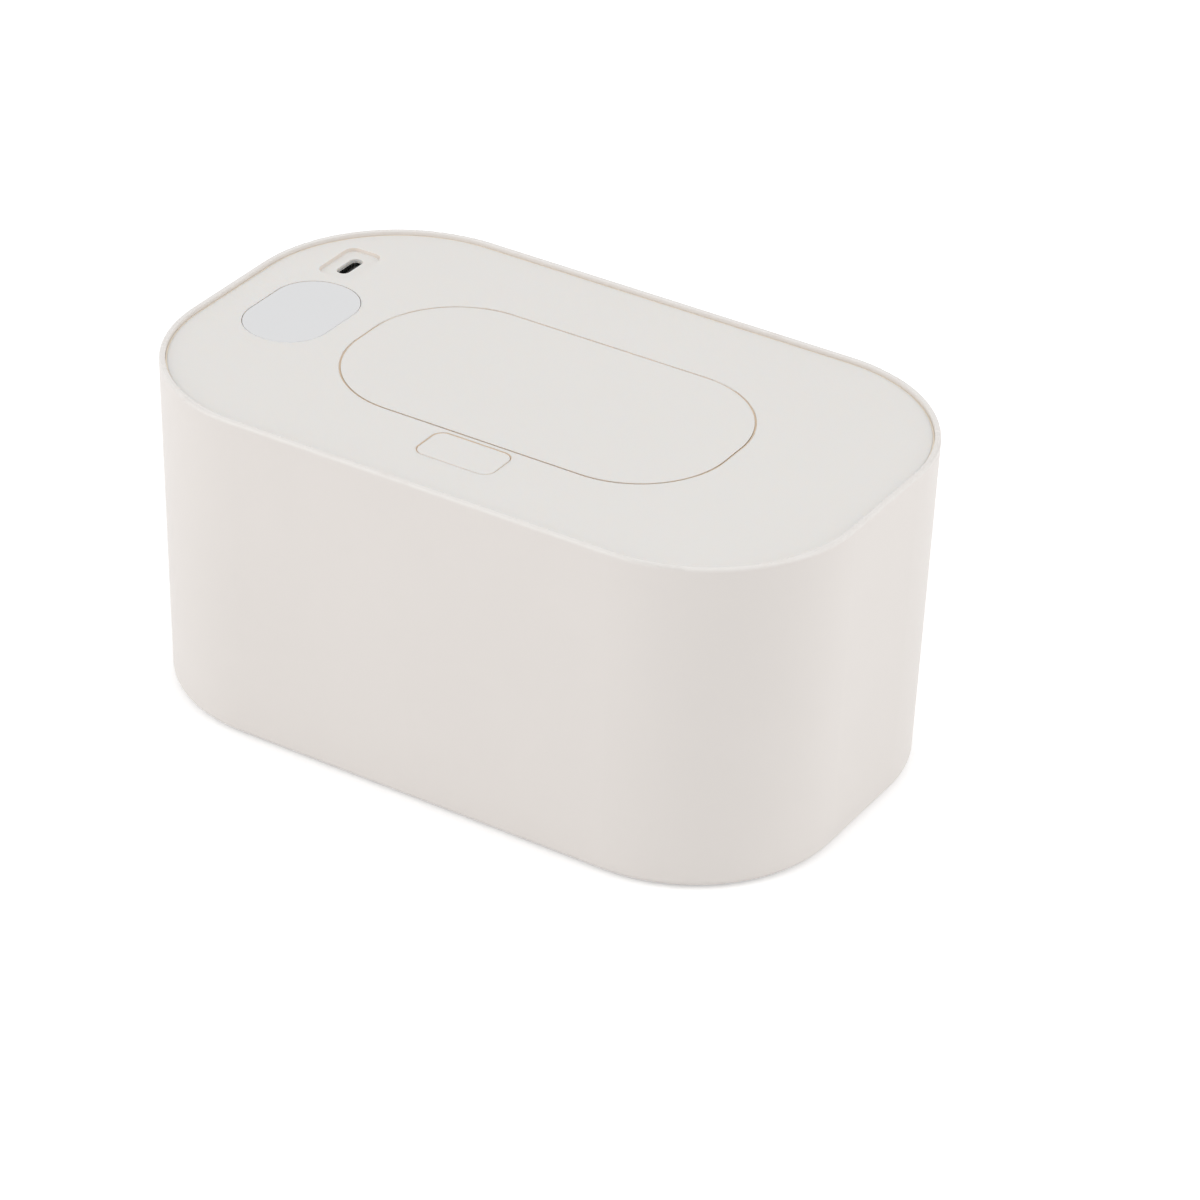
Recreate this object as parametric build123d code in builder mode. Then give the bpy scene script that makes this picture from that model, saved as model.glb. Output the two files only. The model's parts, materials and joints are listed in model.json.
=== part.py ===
"""Baby wipe warmer: a deep rounded box with a heated lift-off lid that dispenses through a flip lid."""

import os
from math import atan2, cos, degrees, hypot, radians, sin, sqrt, tan

from build123d import *

# --------------------------------------------------------------------------
# Driving dimensions, in millimetres
# X runs along the length, -Y is the front, Z is up from the table.
# --------------------------------------------------------------------------

# Outer envelope
length = 200.0
depth = 120.0
height = 95.0
corner_radius = 44.0
wall_draft = 1.15  # degrees that the walls lean in towards the foot

# Base shell
shell_wall = 2.6
shell_floor = 2.4
rim_wall = 1.6
rim_height = 15.5  # from the ledge up to the top of the rim
rim_outer_fillet = 0.9
rim_inner_fillet = 0.3
shell_foot_fillet = 2.0
shell_inner_fillet = 1.0

# Feet and the screws behind them
foot_proud = 0.6
foot_diameter = 12.0
foot_thickness = 1.6
foot_fit = 0.1
foot_edge_fillet = 0.3
foot_inset_x = 32.0  # from the end wall to the foot's centre
foot_inset_y = 30.0  # from the front or back wall to the foot's centre
shell_boss_diameter = 11.0
shell_boss_height = 2.0
tub_post_diameter = 8.0
tub_post_height = 7.0

# Wipe tub
tub_gap = 1.2  # air gap between the shell and the tub
tub_wall = 1.5
tub_floor = 1.5
tub_flange = 1.5
tub_corner_fillet = 5.0

# Lid stack
lid_gap = 0.3  # between the rim and the lid
lid_drop = 1.1  # panel face below the top of the rim
panel_thickness = 2.0
panel_edge_fillet = 0.5
skirt_wall = 1.8
gasket_thickness = 1.0
gasket_width = 2.3
gasket_inset = 0.8  # from the lid's edge
underside_flange = 1.5
tray_gap = 0.9  # between the tub wall and the tray
tray_drop = 10.0
tray_wall = 1.5
tray_floor = 1.6
tray_edge_fillet = 2.5

# Flip lid and the well that it closes
flip_end_margin = 44.45  # from the end wall to the flip lid
flip_side_margin = 29.9  # from the front or back wall to the flip lid
flip_flat = 3.9  # straight left between the corner and the middle of each end
flip_length = length - 2 * flip_end_margin
flip_depth = depth - 2 * flip_side_margin
flip_radius = flip_depth / 2 - flip_flat
flip_gap = 0.3
flip_plate = 1.8
flip_undercut = 0.95  # how far the plate's edge slopes in on its way down
flip_edge_fillet = 0.2
flip_rim_inset = 3.0
flip_rim_wall = 1.4
flip_rim_drop = 3.7
flip_post_diameter = 4.0
flip_post_x = 38.0
flip_post_y = 14.0
liner_thickness = 1.4
liner_fit = 0.3
well_drop = 9.9
well_floor = 2.0
well_wall = 1.5
well_edge_fillet = 0.3

# Dispensing mouth
mouth_end_margin = 18.55  # from the flip lid's end to the mouth
mouth_side_margin = 15.1  # from the flip lid's front or back edge to the mouth
mouth_flat = 1.0  # straight left between the corner and the middle of each end
mouth_length = flip_length - 2 * mouth_end_margin
mouth_depth = flip_depth - 2 * mouth_side_margin
mouth_radius = mouth_depth / 2 - mouth_flat
mouth_edge_fillet = 0.8
mouth_tube_wall = 1.5
bead_offset = 2.0  # from the mouth to the bead
bead_width = 2.0
bead_height = 2.0
seal_overlap = 1.0  # seal beyond the bead on each side

# Gooseneck hinge of the flip lid
hinge_x = 20.0  # from the middle to each arm
hinge_setback = 6.6  # axis behind the rear edge of the well
knuckle_radius = 2.2
swing_gap = 0.3
arm_gap = 0.35  # between the arm's curve and the panel edge that it rounds
arm_width = 5.0
arm_thickness = 2.2
arm_leg = 2.0
arm_root_height = 0.6  # how far above the plate's underside the arms' arcs end
arm_side_gap = 0.5
pin_radius = 0.8
pin_running_gap = 0.05
pocket_wall = 1.4
pocket_end_gap = 0.4
spring_room = 4.5
hinge_cover_plate = 1.4
hinge_cover_rim = 2.0
hinge_cover_wall = 1.0
hinge_cover_fit = 0.05
hinge_cover_fillet = 0.5
hinge_spring_wire = 0.3
hinge_spring_radius = 1.5
hinge_spring_pitch = 0.9
hinge_spring_turns = 3.5
hinge_spring_leg = 6.0
wire_sides = 6  # spring wire is drawn as a fine prism

# Latch: a push button that draws a slider back from the flip lid's catch
button_length = 22.8
button_depth = 12.4
button_radius = 3.2
button_gap = 0.3
button_cap = 1.8
button_edge_fillet = 0.4
button_skirt = 1.2
button_travel = 1.5
bridge = 1.2  # panel strip between the button and the well
tab_reach = 0.8
tab_thickness = 1.2
tab_depth = 6.0
tab_gap = 0.3  # below the panel
button_pocket_side = 0.4
button_pocket_front = 0.6
cam_x = 8.5
cam_width = 2.4
cam_thickness = 2.4
cam_setback = 1.9  # cam leg in front of the button's middle
cam_gap = 0.25
slider_length = 11.3
slider_gap = 0.3
nose_width = 8.0
nose_thickness = 1.4
nose_reach = 1.5  # nose beyond the well wall
nose_chamfer = 0.7
nose_gap = 0.3
catch_width = 8.0
catch_thickness = 1.4
catch_reach = 1.4
catch_height = 1.4
catch_chamfer = 0.8
catch_gap = 0.6  # between the catch and the well's wall and floor
bracket_thickness = 1.6
bracket_corner = 2.5
bracket_ear = 2.9  # plastic round each screw of the bracket
latch_boss_diameter = 5.6
latch_boss_offset = 3.0  # boss centre from the pocket wall
spring_seat_radius = 1.5
spring_seat_height = 1.4
spring_slot_gap = 0.6
latch_spring_wire = 0.3
latch_spring_radius = 2.3
latch_spring_turns = 5

# Heater pan under the tray
pan_end_margin = 20.0  # from the end wall to the pan
pan_side_margin = 17.0  # from the front or back wall to the pan
pan_flat = 13.0  # straight left between the corner and the middle of each end
pan_length = length - 2 * pan_end_margin
pan_depth = depth - 2 * pan_side_margin
pan_radius = pan_depth / 2 - pan_flat
pan_drop = 3.6
pan_sheet = 1.0
pan_mouth_gap = 3.0
pan_edge_fillet = 0.8
film_thickness = 0.4
film_margin = 3.0
pad_window_length = 16.0
pad_window_depth = 12.0
sensor_inset = 20.0  # window centre from the pan's end
pan_head_radius = 2.2
pan_screw_x = 60.0
pan_screw_y = 24.0
pan_screw_middle_y = 31.0
standoff_diameter = 5.4
standoff_fit = 0.4
tray_boss_height = 4.4
fuse_diameter = 2.0
fuse_length = 7.0
thermistor_diameter = 1.8
thermistor_length = 3.0
sensor_spacing = 6.2  # fuse and thermistor either side of the leads

# Display, control board and USB socket
window_inset = 23.7  # window centre from the end wall
window_length = 24.2
window_depth = 35.5
window_radius = 11.6
window_fit = 0.15
window_thickness = 1.5
window_ledge = 1.2
window_edge_fillet = 0.2
usb_inset_x = 18.6  # socket centre from the end wall
usb_inset_y = 30.5  # socket centre from the back wall
usb_shell_length = 8.94
usb_shell_depth = 3.26
usb_shell_wall = 0.3
usb_shell_above = 0.4  # shell's mouth above the underside of the panel
usb_slot_gap = 0.25
usb_tongue_length = 6.7
usb_tongue_thickness = 0.7
usb_tongue_recess = 0.8
usb_recess_length = 17.0
usb_recess_depth = 10.9
usb_recess_radius = 3.0
usb_recess_drop = 0.9
usb_recess_run = 0.45
board_thickness = 1.6
board_length = 62.0  # along Y
board_depth = 28.0  # along X
board_past_usb_x = 6.6  # from the socket's centre to the board's edge
board_past_usb_y = 8.5
board_corner = 4.0
board_flange_gap = 0.3
board_boss_diameter = 5.0
board_screw_inset = 4.0
display_block_x = 20.0
display_block_y = 15.0
display_gap = 0.3
pad_diameter = 6.0
pad_spacing = 24.0
chip_size = 7.0
chip_height = 1.2
chip_gap = 6.0  # from the socket's centre to the chip
coil_size = 5.0
capacitor_offset = 7.5  # from the coil to each capacitor
coil_height = 3.0
parts_inset = 3.5  # coil and capacitors in from the board's inner edge
capacitor_radius = 2.0
capacitor_height = 4.5
connector_length = 8.0
connector_depth = 5.0
contact_offset = 1.25  # from the connector's middle to each row of contacts
connector_height = 4.0
connector_inset = 6.0  # from the board's inner edge
lead_diameter = 1.6
lead_spacing = 2.4
lead_offset = 1.0  # heater leads beside the grommet's middle
lead_bend = 1.5
lead_rise = 3.4  # straight run into the connector
sensor_lead_diameter = 1.0
sensor_lead_spacing = 1.6
sensor_lead_offset = 1.2
grommet_diameter = 8.0
grommet_neck = 6.6
grommet_flange = 0.8
grommet_bore = 5.2

# Screws
screw_radius = 1.25
screw_head_radius = 2.3
screw_head_height = 1.7
screw_bite = 6.0
screw_fit = 0.15
cover_boss_diameter = 7.0
cover_boss_fit = 0.15
cover_post_diameter = 8.4
cover_post_seat = 3.0  # plastic left above the screw head's bore
cover_screw_inset = 4.2  # from the tray's wall
cover_screw_x = 30.0
cover_screw_angle = 62.0
small_screw_radius = 1.0
small_head_radius = 1.9
small_head_height = 1.4
small_bite = 4.0

# --------------------------------------------------------------------------
# Heights that follow from them
# --------------------------------------------------------------------------

ledge_z = height - rim_height
shell_floor_z = foot_proud + shell_floor
tub_under_z = shell_floor_z + shell_boss_height + tub_post_height
tub_top_z = ledge_z + tub_flange
flange_z = tub_top_z + gasket_thickness
skirt_z = flange_z + underside_flange
panel_z = height - lid_drop
panel_under_z = panel_z - panel_thickness
well_z = panel_z - well_drop
well_under_z = well_z - well_floor
tray_under_z = flange_z - tray_drop
tray_floor_z = tray_under_z + tray_floor
pan_under_z = tray_under_z - pan_drop
film_z = pan_under_z + pan_sheet
pad_z = film_z + film_thickness
board_z = skirt_z + board_flange_gap
board_top_z = board_z + board_thickness


def lean(z):
    """How far the drafted wall has leaned in at height z."""
    return (height - z) * tan(radians(wall_draft))


def inset(size, amount):
    """A plan size (length, depth, corner radius) moved in by an amount on every side."""
    return size[0] - 2 * amount, size[1] - 2 * amount, size[2] - amount


def slab(size, z, centre=(0, 0)):
    """A rounded rectangle at height z."""
    with BuildSketch(Plane.XY.offset(z)) as outline:
        with Locations(centre):
            RectangleRounded(*size)
    return outline.sketch


def discs(radius, z, places):
    """One disc at height z for each place."""
    with BuildSketch(Plane.XY.offset(z)) as outline:
        with Locations(*places):
            Circle(radius)
    return outline.sketch


def mirrored(x, y):
    """The four places that mirror one place about both middle planes."""
    return [(x * side, y * face) for side in (-1, 1) for face in (-1, 1)]


def finish(builder, label):
    """Names a finished sub-part and writes it as its own STEP file."""
    builder.part.label = label
    export_step(builder.part, f"parts/{label}.step")


# Plan sizes: length, depth, corner radius
shell_top = (length, depth, corner_radius)
rim_inside = inset(shell_top, rim_wall)
cavity = inset(shell_top, lean(ledge_z) + shell_wall)
tub_outside = inset(cavity, tub_gap)
tub_inside = inset(tub_outside, tub_wall)
lid_plan = inset(rim_inside, lid_gap)
gasket_plan = inset(lid_plan, gasket_inset)
tray_plan = inset(tub_inside, tray_gap)
flip_plan = (flip_length, flip_depth, flip_radius)
well_plan = inset(flip_plan, -flip_gap)
flip_rim_plan = inset(flip_plan, flip_rim_inset)
mouth_plan = (mouth_length, mouth_depth, mouth_radius)
bead_plan = inset(mouth_plan, -bead_offset)
pan_plan = (pan_length, pan_depth, pan_radius)
pan_mouth = inset(mouth_plan, -pan_mouth_gap)
button_plan = (button_length, button_depth, button_radius)
button_hole = inset(button_plan, -button_gap)
window_plan = (window_length, window_depth, window_radius)
usb_recess_plan = (usb_recess_depth, usb_recess_length, usb_recess_radius)

# Feet, with the tub's screws above them
foot_places = mirrored(length / 2 - foot_inset_x, depth / 2 - foot_inset_y)
tub_head_z = foot_thickness + screw_head_height

# Screws that join the two halves of the lid
cover_corner_reach = tray_plan[2] - cover_screw_inset
cover_screw_places = mirrored(cover_screw_x, tray_plan[1] / 2 - cover_screw_inset) + mirrored(
    tray_plan[0] / 2 - tray_plan[2] + cover_corner_reach * cos(radians(cover_screw_angle)),
    tray_plan[1] / 2 - tray_plan[2] + cover_corner_reach * sin(radians(cover_screw_angle)),
)
cover_head_z = flange_z - cover_post_seat

# Gooseneck hinge: the axis runs along X behind the well, below the panel
hinge_y = well_plan[1] / 2 + hinge_setback
hinge_z = panel_under_z - swing_gap - knuckle_radius
arm_inner = hypot(hinge_setback, panel_z - hinge_z) + arm_gap
arm_outer = arm_inner + arm_thickness
pocket_z = hinge_z - arm_outer - swing_gap
channel_width = arm_width + 2 * arm_side_gap
channel_front_y = hinge_y - sqrt(arm_outer**2 - (hinge_z - well_z) ** 2) - pocket_end_gap
chamber_front_y = well_plan[1] / 2 + well_wall
chamber_rear_y = hinge_y + knuckle_radius + pocket_end_gap
pin_inner_x = hinge_x - channel_width / 2 - pocket_wall
pin_length = channel_width + spring_room + 2 * pocket_wall

# Push button in front of the well, and the slider under it
button_y = -(well_plan[1] / 2 + bridge + button_hole[1] / 2)
button_rear_y = button_y + button_hole[1] / 2
button_under_z = panel_z - button_cap
latch_front_y = button_y - button_hole[1] / 2 - button_pocket_front
latch_half_width = button_length / 2 + tab_reach + button_pocket_side
catch_z = well_z + catch_gap
catch_front_y = -(well_plan[1] / 2 - catch_gap)
catch_rear_y = catch_front_y + catch_reach + catch_thickness
nose_z = catch_z + catch_height + nose_gap
slider_z = well_z + slider_gap
slider_top_z = nose_z + nose_thickness
cam_z = slider_z + button_travel
cam_bend_z = slider_top_z + button_travel + slider_gap
cam_y = button_y - cam_setback
bracket_screw_places = [
    (side * (latch_half_width + pocket_wall + latch_boss_offset), button_y) for side in (-1, 1)
]

# Display window, USB socket and the board that carries them
window_centre = (-(length / 2 - window_inset), 0)
usb_centre = (-(length / 2 - usb_inset_x), depth / 2 - usb_inset_y)
board_left_x = usb_centre[0] - board_past_usb_x
board_right_x = board_left_x + board_depth
board_rear_y = usb_centre[1] + board_past_usb_y
board_front_y = board_rear_y - board_length
board_centre = ((board_left_x + board_right_x) / 2, (board_front_y + board_rear_y) / 2)
board_screw_places = [
    (board_left_x + board_screw_inset, board_front_y + board_screw_inset),
    (board_right_x - board_screw_inset, board_front_y + board_screw_inset),
    (board_right_x - board_screw_inset, board_rear_y - board_screw_inset),
]

# Heater pan's screws, and the place where its sensors and leads sit
pan_screw_places = mirrored(pan_screw_x, pan_screw_y) + [(0, -pan_screw_middle_y), (0, pan_screw_middle_y)]
sensor_centre = (-(pan_length / 2 - sensor_inset), 0)


def drafted_block(plan, top_z, bottom_z, edge_fillet):
    """A block that narrows downwards by the wall draft, with its bottom edge rounded."""
    with BuildPart() as block:
        extrude(slab(plan, top_z), amount=bottom_z - top_z, taper=wall_draft)
        fillet(block.faces().sort_by(Axis.Z)[0].edges(), edge_fillet)
    return block.part


def edges_within(builder, plan, z, centre=(0, 0)):
    """Edges at height z that lie inside a plan outline."""
    found = ShapeList()
    for edge in builder.edges().filter_by_position(Axis.Z, z, z):
        box = edge.bounding_box()
        reach_x = max(abs(box.min.X - centre[0]), abs(box.max.X - centre[0]))
        reach_y = max(abs(box.min.Y - centre[1]), abs(box.max.Y - centre[1]))
        if reach_x < plan[0] / 2 + 0.01 and reach_y < plan[1] / 2 + 0.01:
            found.append(edge)
    return found


def hinge_pocket(side, grow, z):
    """Plan of one hinge pocket: a channel for the arm and a wider chamber for the pin and spring."""
    with BuildSketch(Plane.XY.offset(z)) as plan:
        with Locations((side * hinge_x, (channel_front_y + chamber_rear_y) / 2)):
            Rectangle(channel_width + 2 * grow, chamber_rear_y - channel_front_y + 2 * grow)
        with Locations((side * (hinge_x + spring_room / 2), (chamber_front_y + chamber_rear_y) / 2)):
            Rectangle(channel_width + spring_room + 2 * grow, chamber_rear_y - chamber_front_y + 2 * grow)
    return plan.sketch


def hinge_disc(radius, x):
    """A disc across the hinge axis at a place along it."""
    with BuildSketch(Plane.YZ.offset(x)) as disc:
        with Locations((hinge_y, hinge_z)):
            Circle(radius)
    return disc.sketch


def latch_pocket(grow):
    """Plan of the pocket under the button; its rear wall is the wall of the well."""
    with BuildSketch(Plane.XY.offset(well_z)) as plan:
        with Locations((0, button_rear_y)):
            Rectangle(
                2 * (latch_half_width + grow),
                button_rear_y - latch_front_y + grow,
                align=(Align.CENTER, Align.MAX),
            )
    return plan.sketch


def usb_slot(grow, z):
    """Outline of the socket's shell, grown by a gap."""
    with BuildSketch(Plane.XY.offset(z)) as plan:
        with Locations(usb_centre):
            SlotOverall(usb_shell_length + 2 * grow, usb_shell_depth + 2 * grow, rotation=90)
    return plan.sketch


os.makedirs("parts", exist_ok=True)

# --------------------------------------------------------------------------
# Base: shell, wipe tub, screws and feet
# --------------------------------------------------------------------------

with BuildPart() as base_shell:
    add(drafted_block(shell_top, height, foot_proud, shell_foot_fillet))
    # Cavity with walls parallel to the outside
    add(drafted_block(cavity, ledge_z, shell_floor_z, shell_inner_fillet), mode=Mode.SUBTRACT)
    # Rabbet that leaves the thin rim round the lid
    extrude(slab(rim_inside, ledge_z), amount=height - ledge_z, mode=Mode.SUBTRACT)
    fillet(base_shell.faces().sort_by(Axis.Z)[-1].outer_wire().edges(), rim_outer_fillet)
    fillet(base_shell.faces().sort_by(Axis.Z)[-1].inner_wires()[0].edges(), rim_inner_fillet)
    # Bosses that the tub's posts stand on, with the foot and screw recesses below them
    extrude(discs(shell_boss_diameter / 2, shell_floor_z, foot_places), amount=shell_boss_height)
    extrude(
        discs(foot_diameter / 2 + foot_fit, foot_proud, foot_places),
        amount=foot_thickness - foot_proud,
        mode=Mode.SUBTRACT,
    )
    extrude(
        discs(screw_head_radius + screw_fit, foot_thickness, foot_places),
        amount=tub_head_z - foot_thickness,
        mode=Mode.SUBTRACT,
    )
    extrude(
        discs(screw_radius + screw_fit, tub_head_z, foot_places),
        amount=shell_floor_z + shell_boss_height - tub_head_z,
        mode=Mode.SUBTRACT,
    )
finish(base_shell, "base_shell")

with BuildPart() as wipe_tub:
    add(drafted_block(tub_outside, ledge_z, tub_under_z, tub_corner_fillet + tub_floor))
    # Flange that hangs on the shell's ledge
    extrude(slab(lid_plan, ledge_z), amount=tub_flange)
    # Bay for the wipes, its walls parallel to the outside
    add(
        drafted_block(
            inset(tub_inside, -tub_flange * tan(radians(wall_draft))),
            tub_top_z,
            tub_under_z + tub_floor,
            tub_corner_fillet,
        ),
        mode=Mode.SUBTRACT,
    )
    # Posts that reach down to the shell
    extrude(discs(tub_post_diameter / 2, tub_under_z, foot_places), amount=-tub_post_height)
    extrude(
        discs(screw_radius, tub_under_z - tub_post_height, foot_places),
        amount=screw_bite,
        mode=Mode.SUBTRACT,
    )
finish(wipe_tub, "wipe_tub")

with BuildPart() as tub_screws:
    extrude(discs(screw_head_radius, tub_head_z, foot_places), amount=-screw_head_height)
    extrude(
        discs(screw_radius, tub_head_z, foot_places),
        amount=tub_under_z - tub_post_height + screw_bite - tub_head_z,
    )
finish(tub_screws, "tub_screws")

foot_names = ["foot_front_left", "foot_rear_left", "foot_front_right", "foot_rear_right"]
for foot_name, foot_place in zip(foot_names, foot_places):
    with BuildPart() as foot:
        extrude(discs(foot_diameter / 2, 0, [foot_place]), amount=foot_thickness)
        fillet(foot.faces().sort_by(Axis.Z)[0].edges(), foot_edge_fillet)
    finish(foot, foot_name)

# --------------------------------------------------------------------------
# Lid: the moulded cover
# --------------------------------------------------------------------------

with BuildPart() as top_cover:
    # Panel and skirt
    extrude(slab(lid_plan, skirt_z), amount=panel_z - skirt_z)
    fillet(top_cover.faces().sort_by(Axis.Z)[-1].edges(), panel_edge_fillet)
    extrude(slab(inset(lid_plan, skirt_wall), skirt_z), amount=panel_under_z - skirt_z, mode=Mode.SUBTRACT)
    # Outsides of the well, the hinge pockets and the latch pocket
    extrude(slab(inset(well_plan, -well_wall), well_under_z), amount=panel_under_z - well_under_z)
    for side in (-1, 1):
        extrude(hinge_pocket(side, pocket_wall, pocket_z), amount=panel_under_z - pocket_z)
    extrude(latch_pocket(pocket_wall), amount=panel_under_z - well_z)
    # Bosses for the underside, the board and the latch bracket
    extrude(discs(cover_boss_diameter / 2, flange_z, cover_screw_places), amount=panel_under_z - flange_z)
    board_boss_height = panel_under_z - board_top_z
    extrude(discs(board_boss_diameter / 2, board_top_z, board_screw_places), amount=board_boss_height)
    extrude(discs(latch_boss_diameter / 2, well_z, bracket_screw_places), amount=panel_under_z - well_z)
    # The well, its mouth and the bead that the seal closes on
    extrude(slab(well_plan, well_z), amount=well_drop, mode=Mode.SUBTRACT)
    extrude(slab(inset(bead_plan, -bead_width), well_z), amount=bead_height)
    extrude(slab(bead_plan, well_z), amount=bead_height, mode=Mode.SUBTRACT)
    extrude(slab(mouth_plan, well_under_z), amount=well_floor, mode=Mode.SUBTRACT)
    fillet(edges_within(top_cover, mouth_plan, well_z), mouth_edge_fillet)
    fillet(edges_within(top_cover, well_plan, panel_z), well_edge_fillet)
    # Insides of the hinge pockets, open towards the well, with the pin holes
    for side in (-1, 1):
        extrude(hinge_pocket(side, 0, pocket_z), amount=panel_under_z - pocket_z, mode=Mode.SUBTRACT)
        extrude(hinge_disc(pin_radius, side * pin_inner_x), amount=side * pin_length, mode=Mode.SUBTRACT)
    # Inside of the latch pocket, the button's hole and the window for the slider's nose
    extrude(latch_pocket(0), amount=panel_under_z - well_z, mode=Mode.SUBTRACT)
    extrude(slab(button_hole, panel_under_z, (0, button_y)), amount=panel_thickness, mode=Mode.SUBTRACT)
    with BuildSketch(Plane.XZ.offset(-button_rear_y)):
        with Locations((0, nose_z + nose_thickness / 2)):
            Rectangle(nose_width + 2 * nose_gap, nose_thickness + 2 * nose_gap)
    extrude(amount=-bridge, mode=Mode.SUBTRACT)
    # Stepped hole for the window
    extrude(
        slab(inset(window_plan, -window_fit), panel_z - window_thickness, window_centre),
        amount=window_thickness,
        mode=Mode.SUBTRACT,
    )
    extrude(
        slab(inset(window_plan, window_ledge), panel_under_z, window_centre),
        amount=panel_thickness,
        mode=Mode.SUBTRACT,
    )
    # Sunk surround and slot of the USB socket
    extrude(
        slab(usb_recess_plan, panel_z, usb_centre),
        amount=-usb_recess_drop,
        taper=degrees(atan2(usb_recess_run, usb_recess_drop)),
        mode=Mode.SUBTRACT,
    )
    extrude(usb_slot(usb_slot_gap, panel_under_z), amount=panel_thickness, mode=Mode.SUBTRACT)
    # Pilot holes
    extrude(
        discs(screw_radius, flange_z, cover_screw_places),
        amount=cover_head_z + screw_bite + cover_post_seat - flange_z,
        mode=Mode.SUBTRACT,
    )
    extrude(
        discs(small_screw_radius, board_top_z, board_screw_places),
        amount=small_bite,
        mode=Mode.SUBTRACT,
    )
    extrude(discs(small_screw_radius, well_z, bracket_screw_places), amount=small_bite, mode=Mode.SUBTRACT)
finish(top_cover, "top_cover")

# --------------------------------------------------------------------------
# Lid: window and hinge hardware
# --------------------------------------------------------------------------

with BuildPart() as display_window:
    extrude(slab(window_plan, panel_z - window_thickness, window_centre), amount=window_thickness)
    fillet(display_window.faces().sort_by(Axis.Z)[-1].edges(), window_edge_fillet)
finish(display_window, "display_window")

for side, side_name in ((-1, "left"), (1, "right")):
    with BuildPart() as hinge_pin:
        extrude(hinge_disc(pin_radius, side * pin_inner_x), amount=side * pin_length)
    finish(hinge_pin, f"hinge_pin_{side_name}")

    with BuildPart() as hinge_cover:
        # Cap pushed over the pocket's walls from below
        cap_grow = pocket_wall + hinge_cover_fit + hinge_cover_wall
        extrude(hinge_pocket(side, cap_grow, pocket_z - hinge_cover_plate), amount=hinge_cover_plate)
        extrude(hinge_pocket(side, cap_grow, pocket_z), amount=hinge_cover_rim)
        extrude(
            hinge_pocket(side, pocket_wall + hinge_cover_fit, pocket_z),
            amount=hinge_cover_rim,
            mode=Mode.SUBTRACT,
        )
        fillet(hinge_cover.faces().sort_by(Axis.Z)[0].edges(), hinge_cover_fillet)
    finish(hinge_cover, f"hinge_cover_{side_name}")

    with BuildPart() as hinge_spring:
        # Coil round the pin, outboard of the arm, with one leg down against each wall
        spring_x = side * (hinge_x + arm_width / 2 + arm_side_gap + hinge_spring_wire)
        coil_plane = Plane(origin=(spring_x, hinge_y, hinge_z), x_dir=(0, 1, 0), z_dir=(side, 0, 0))
        coil = coil_plane * Helix(
            pitch=hinge_spring_pitch,
            height=hinge_spring_pitch * hinge_spring_turns,
            radius=hinge_spring_radius,
            lefthand=side < 0,
            mode=Mode.PRIVATE,
        )
        with BuildSketch(Plane(origin=coil @ 0, z_dir=coil % 0)):
            RegularPolygon(hinge_spring_wire, wire_sides)
        sweep(path=coil)
        for along, run in ((0, -hinge_spring_leg), (1, hinge_spring_leg)):
            with BuildSketch(Plane(origin=coil @ along, z_dir=coil % along)):
                RegularPolygon(hinge_spring_wire, wire_sides)
            extrude(amount=run)
    finish(hinge_spring, f"hinge_spring_{side_name}")

# --------------------------------------------------------------------------
# Lid: latch bracket, its screws and spring
# --------------------------------------------------------------------------

with BuildPart() as latch_bracket:
    # Plate that closes the latch pocket from below and carries the slider
    bracket_half = bracket_screw_places[1][0] + bracket_ear
    bracket_front_y = latch_front_y - pocket_wall
    bracket_rear_y = -(well_plan[1] / 2 + well_wall + slider_gap)
    with BuildSketch(Plane.XY.offset(well_z - bracket_thickness)):
        with Locations((0, (bracket_front_y + bracket_rear_y) / 2)):
            RectangleRounded(2 * bracket_half, bracket_rear_y - bracket_front_y, bracket_corner)
    extrude(amount=bracket_thickness)
    extrude(discs(spring_seat_radius, well_z, [(0, button_y)]), amount=spring_seat_height)
    extrude(
        discs(small_screw_radius + screw_fit, well_z - bracket_thickness, bracket_screw_places),
        amount=bracket_thickness,
        mode=Mode.SUBTRACT,
    )
finish(latch_bracket, "latch_bracket")

with BuildPart() as latch_screws:
    bracket_under_z = well_z - bracket_thickness
    extrude(discs(small_head_radius, bracket_under_z, bracket_screw_places), amount=-small_head_height)
    extrude(
        discs(small_screw_radius, bracket_under_z, bracket_screw_places),
        amount=bracket_thickness + small_bite,
    )
finish(latch_screws, "latch_screws")

with BuildPart() as latch_spring:
    spring_bottom_z = well_z + latch_spring_wire
    spring_rise = button_under_z - well_z - 2 * latch_spring_wire
    coil = Helix(
        pitch=spring_rise / latch_spring_turns,
        height=spring_rise,
        radius=latch_spring_radius,
        center=(0, button_y, spring_bottom_z),
        mode=Mode.PRIVATE,
    )
    with BuildSketch(Plane(origin=coil @ 0, z_dir=coil % 0)):
        RegularPolygon(latch_spring_wire, wire_sides)
    sweep(path=coil)
finish(latch_spring, "latch_spring")

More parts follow.
